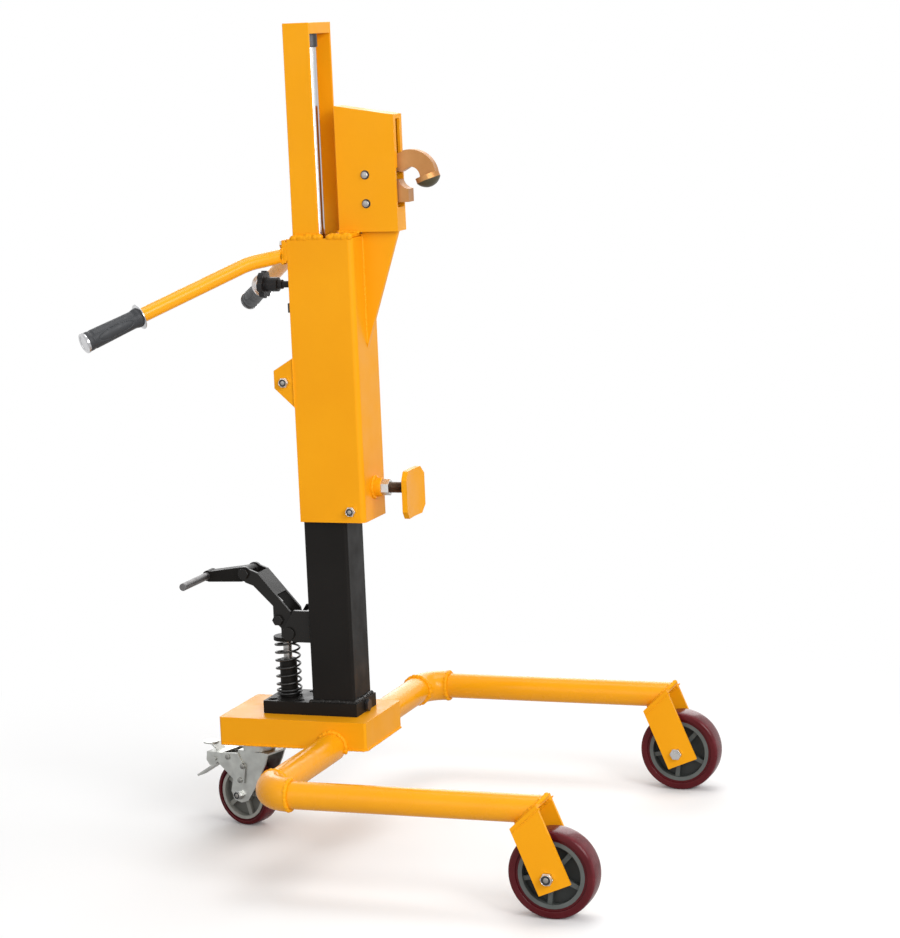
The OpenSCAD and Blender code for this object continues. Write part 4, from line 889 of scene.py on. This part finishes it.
chromate_finish = chromate()
add_eased(chromate_finish, {"lower_jaw": 1.8})
# The faces of the hook tip's dome are marked for the chromate's painted shade.
hook_mesh = softened("hook", 0.8 * mm)
tip_tilt = math.radians(19.5)
tip_way = Vector((math.sin(tip_tilt), 0, -math.cos(tip_tilt)))
tip_dome = 12.6 * mm
tip_end = max(vertex.co.dot(tip_way) for vertex in hook_mesh.vertices)
tip_shade = hook_mesh.attributes.new("tip_painted_shade", "FLOAT", "FACE")
for face in hook_mesh.polygons:
    tip_shade.data[face.index].value = float(tip_end - face.center.dot(tip_way) < tip_dome)
add_piece("hook_finished", hook_mesh, chromate_finish, "hook")
# Thin dark rings round the pins' ends are painted shadow of the gap round each pin.
pin_shadow_ring = [(0.68, 0), (0.68, 0.04), (0.52, 0.04), (0.52, 0)]
pin_d = 12 * mm
pins = [(Vector((joint_at[name].x, head_low.y, joint_at[name].z)), -leftward, pin_d)
        for name in ("beak_grip", "jaw_grip")]
add_copies("pin_shadows", "carriage", "zinc", ring_nylon, pin_shadow_ring, pins)
pin_end = [(0, 0.37), (0.43, 0.37), (0.505, 0.32), (0.505, 0.05)]
add_copies("pin_ends", "carriage", "zinc", steel_finish, pin_end, pins)

# The support pad is a bent and painted steel plate on a threaded stud, screwed into a boss that is welded on
# the sleeve. A zinc-plated nut against the boss sets how far the pad stands out.
add_eased(yellow_paint, {"pad_boss": 1.4, "support_pad": 1.4})
add_eased(zinc_finish, {"pad_nut": 1.0})


def threaded(name, start, length, diameter, pitch, steps=40):
    """A threaded rod along x with a true helical ridge."""
    depth = 0.6 * pitch
    rows_per_turn = 8
    count = max(int(length / pitch * rows_per_turn), rows_per_turn)
    rows = []
    for k in range(count + 1):
        along = length * k / count
        row = []
        for step, angle in enumerate(round_angles(steps)):
            phase = (along / pitch - step / steps) % 1
            radius = diameter / 2 - depth * abs(2 * phase - 1)
            row.append(start + Vector((along, radius * math.cos(angle), radius * math.sin(angle))))
        rows.append(row)
    return skinned(name, rows, 50)


stud_low, stud_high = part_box("pad_stud")
stud_start = Vector((stud_low.x, 0, (stud_low.z + stud_high.z) / 2))
stud_pitch = 2.5 * mm
stud_finish = plated("stud_steel", (0.17, 0.125, 0.09), (0.10, 0.075, 0.055), 0.45)
stud = threaded("pad_stud", stud_start, stud_high.x - stud_low.x, stud_high.z - stud_low.z, stud_pitch)
add_piece("pad_stud_finished", stud, stud_finish, "pad_stud")

# Two splayed handle tubes are welded to a plate at the back of the sleeve. Each has a moulded rubber grip
# with a long oval panel, between a chromed flange and a chromed end cap.
add_eased(yellow_paint, {"handle_bracket": 1.0})
bracket_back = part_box("handle_bracket")[0].x
handle_tube = 26 * mm
handle_splay = math.radians(51)
root_y = 46 * mm
root_z = 1074 * mm
bracket_half = 55 * mm
handle_beads = []
for side in (-1, 1):
    oval = [Vector((bracket_back, side * root_y + point.y / math.cos(handle_splay), root_z + point.z))
            for point in ring((0, 0, 0), leftward, handle_tube / 2 + 0.5 * mm)]
    handle_beads.append((2.6, [point for point in oval if abs(point.y) < bracket_half]))
add_welds("handle_welds", "carriage", "yellow_paint", yellow_paint, handle_beads)
for node in ("right_handle", "left_handle"):
    add_piece(node + "_finished", smoothed(node, 35), tube_paint, node)


def grip_line(side):
    """Where a grip starts, its direction to the end cap, and its length, read from the grip's solid."""
    points = np.array([vertex.co for vertex in frame["nodes"]["handle_grips"].data.vertices])
    points = points[points[:, 1] * side > 0]
    centre = points.mean(0)
    way = np.linalg.svd(points - centre, full_matrices=False)[2][0]
    way *= np.sign(way[1]) * side
    reach = (points - centre) @ way
    return Vector(centre + reach.min() * way), Vector(way), float(reach.max() - reach.min())


def grip_radius(share):
    """The grip's radius along it, from its flared start to the rim at the end cap."""
    knots = [(0, 17.6), (0.05, 17.3), (0.10, 15.7), (0.3, 16.0), (0.6, 16.8), (0.86, 17.3), (0.885, 16.7),
             (0.91, 16.7), (0.93, 17.5), (1, 17.3)]
    return float(np.interp(share, [k[0] for k in knots], [k[1] for k in knots])) * mm


def panel_depth(share, angle):
    """How far the long oval panel on a grip's two sides lies under the rubber round it."""
    panel_middle = 0.49
    panel_half = 0.32
    panel_turn = math.radians(34)
    groove_width = 0.055
    groove_depth = 0.9
    panel_sunk = 0.35 * mm
    turn = min(abs(angle), abs(abs(angle) - math.pi))
    reach = math.hypot((share - panel_middle) / panel_half, turn / panel_turn)
    groove = math.exp(-((reach - 1) / groove_width) ** 2) * groove_depth * mm
    return groove + (panel_sunk if reach < 1 else 0)


def grip_mesh(name, start, way, length, rows=110, steps=120):
    """One grip: a flared rubber sleeve with a sunk oval panel on each side."""
    side = way.cross(upward).normalized()
    over = side.cross(way)
    lines = []
    for row in range(rows + 1):
        share = row / rows
        line = []
        for turn in round_angles(steps):
            angle = turn - math.pi
            radius = grip_radius(share) - panel_depth(share, angle)
            out = math.cos(angle) * side + math.sin(angle) * over
            line.append(start + share * length * way + radius * out)
        lines.append(line)
    return skinned(name, lines, 50)


chrome_finish = plated("chrome", (0.66, 0.66, 0.67), (0.40, 0.40, 0.41), 0.16)
flange = [(13, -6), (15.2, -6), (16.4, -4.6), (22.6, -3.4), (23.2, -2.6), (22.9, -1.7), (17.8, 0), (13, 0)]
end_cap = [(0, 3.6), (13.2, 3.6), (13.9, 4.4), (16.6, 4.9), (18.2, 4.2), (18.5, 2.8), (18.5, 0), (0, 0)]
trim = []
for side in (-1, 1):
    start, way, length = grip_line(side)
    trim.append(turned("flange", [(r * mm, h * mm) for r, h in flange], start, way))
    trim.append(turned("end_cap", [(r * mm, h * mm) for r, h in end_cap], start + length * way, way))
trim = joined("grip_trim", trim)
trim.shade_smooth()
trim.set_sharp_from_angle(angle=math.radians(35))
add_piece("grip_trim_finished", trim, chrome_finish, "grip_trim")


def grained_rubber():
    """Dark grey rubber, matt and finely grained, a little paler where hands polish it."""
    finish, tree, shader = new_finish("grip_rubber")
    tone = clouds(tree, 40, 4, (0.028, 0.030, 0.033), (0.040, 0.042, 0.046))
    tree.links.new(tone, shader.inputs["Base Color"])
    uneven_gloss(tree, shader, 90, 4, 0.4, 0.55)
    shader.inputs["Specular IOR Level"].default_value = 0.3
    relief(tree, shader, noise(tree, 1400, 2), 0.12 * mm, 0.15)
    return finish


rubber_finish = grained_rubber()
grips = joined("handle_grips", [grip_mesh("grip", *grip_line(side)) for side in (-1, 1)])
add_piece("handle_grips_finished", grips, rubber_finish, "handle_grips")

# The star knob is moulded in black plastic: a notched disc on a stepped hub, in one with its screw.
# The screw goes through a clearance hole in the handle plate, and is turned by hand.
knob_finish = moulded("knob_plastic", (0.014, 0.014, 0.0145), (0.02, 0.02, 0.021), 0.4, 0.22)
add_eased(knob_finish, {"star_knob": 1.6})

# A plain pale floor, a white surround, and soft studio light from the front right, overhead and behind.
# The camera stands where the photograph was taken, about five metres away.
stage_floor = bpy.data.meshes.new("floor")
floor_reach = 30.0
stage_floor.from_pydata([(-floor_reach, -floor_reach, 0), (floor_reach, -floor_reach, 0),
                         (floor_reach, floor_reach, 0), (-floor_reach, floor_reach, 0)], [], [(0, 1, 2, 3)])
floor_object = placed("floor", stage_floor)


def white_for_camera(tree):
    """1 for rays from the camera, from gloss and through glass, and 0 for the rest."""
    path = tree.nodes.new("ShaderNodeLightPath")
    seen = math_node(tree, "MAXIMUM", path.outputs["Is Camera Ray"], path.outputs["Is Glossy Ray"])
    return math_node(tree, "MAXIMUM", seen, path.outputs["Is Transmission Ray"])


def pale_floor():
    """A pale matt floor that keeps the shadow near the machine and is plain white further out."""
    shadow_reach = 0.55
    white_from = 1.6
    lighting_grey = (0.55, 0.55, 0.55)
    seen_grey = (0.93, 0.93, 0.93)
    finish, tree, shader = new_finish("pale_floor")
    seen = tree.nodes.new("ShaderNodeLightPath")
    tree.links.new(mixed(tree, seen.outputs["Is Camera Ray"], lighting_grey, seen_grey),
                   shader.inputs["Base Color"])
    shader.inputs["Roughness"].default_value = 0.9
    shader.inputs["Specular IOR Level"].default_value = 0.0
    glow = tree.nodes.new("ShaderNodeEmission")
    place = tree.nodes.new("ShaderNodeTexCoord")
    reach = tree.nodes.new("ShaderNodeVectorMath")
    reach.operation = "LENGTH"
    far = tree.nodes.new("ShaderNodeMapRange")
    far.inputs["From Min"].default_value = shadow_reach
    far.inputs["From Max"].default_value = white_from
    far.interpolation_type = "SMOOTHSTEP"
    mix = tree.nodes.new("ShaderNodeMixShader")
    tree.links.new(place.outputs["Object"], reach.inputs[0])
    tree.links.new(reach.outputs["Value"], far.inputs["Value"])
    share = math_node(tree, "MULTIPLY", far.outputs["Result"], white_for_camera(tree))
    tree.links.new(share, mix.inputs["Fac"])
    tree.links.new(shader.outputs["BSDF"], mix.inputs[1])
    tree.links.new(glow.outputs["Emission"], mix.inputs[2])
    tree.links.new(mix.outputs["Shader"], tree.nodes["Material Output"].inputs["Surface"])
    return finish


stage_floor.materials.append(pale_floor())

world = bpy.data.worlds.new("white_surround")
world.use_nodes = True
bpy.context.scene.world = world
sky = world.node_tree.nodes["Background"]
ambient_light = 0.36
level = world.node_tree.nodes.new("ShaderNodeMapRange")
level.inputs["To Min"].default_value = ambient_light
level.inputs["To Max"].default_value = 1.0
world.node_tree.links.new(white_for_camera(world.node_tree), level.inputs["Value"])
world.node_tree.links.new(level.outputs["Result"], sky.inputs["Strength"])
sky.inputs["Color"].default_value = (1, 1, 1, 1)


def add_light(name, place, target, size, power):
    """A square soft box that faces a point and isn't seen itself."""
    lamp = bpy.data.lights.new(name, "AREA")
    lamp.shape = "SQUARE"
    lamp.size = size
    lamp.energy = power
    holder = placed(name, lamp)
    holder.location = place
    holder.rotation_mode = "QUATERNION"
    holder.rotation_quaternion = (target - Vector(place)).to_track_quat("-Z", "Y")
    holder.visible_camera = False


middle = Vector((0, 0, 0.7))
add_light("key_light", (3.7, -2.5, 2.7), middle, 2.2, 118)
add_light("fill_light", (-1.6, -4.1, 1.9), middle, 2.6, 18)
add_light("near_light", (2.4, -4.4, 1.9), middle, 1.8, 74)
add_light("top_light", (0.4, 0.4, 4.2), middle, 2.6, 66)
add_light("back_light", (-1.0, 3.6, 2.0), middle, 3.4, 80)

focal_pixels = 2820.32
image_height = 938
sensor = 36.0
camera_data = bpy.data.cameras.new("camera")
camera_data.sensor_width = sensor
camera_data.lens = focal_pixels * sensor / image_height
camera = placed("camera", camera_data)
bpy.context.scene.camera = camera
camera_place = Vector((mast_x + 1.94595, -4.69368, 1.47082))
yaw = math.radians(20.07)
pitch = math.radians(8.96)
roll = math.radians(2.45)
back = Vector((math.sin(yaw) * math.cos(pitch), -math.cos(yaw) * math.cos(pitch), math.sin(pitch)))
level_right = Vector((math.cos(yaw), math.sin(yaw), 0))
level_up = level_right.cross(-back)
right = math.cos(roll) * level_right - math.sin(roll) * level_up
up = math.sin(roll) * level_right + math.cos(roll) * level_up
camera.matrix_world = Matrix.Translation(camera_place) @ Matrix((right, up, back)).transposed().to_4x4()
camera_data.clip_end = 100
bpy.context.scene.view_settings.view_transform = "Standard"
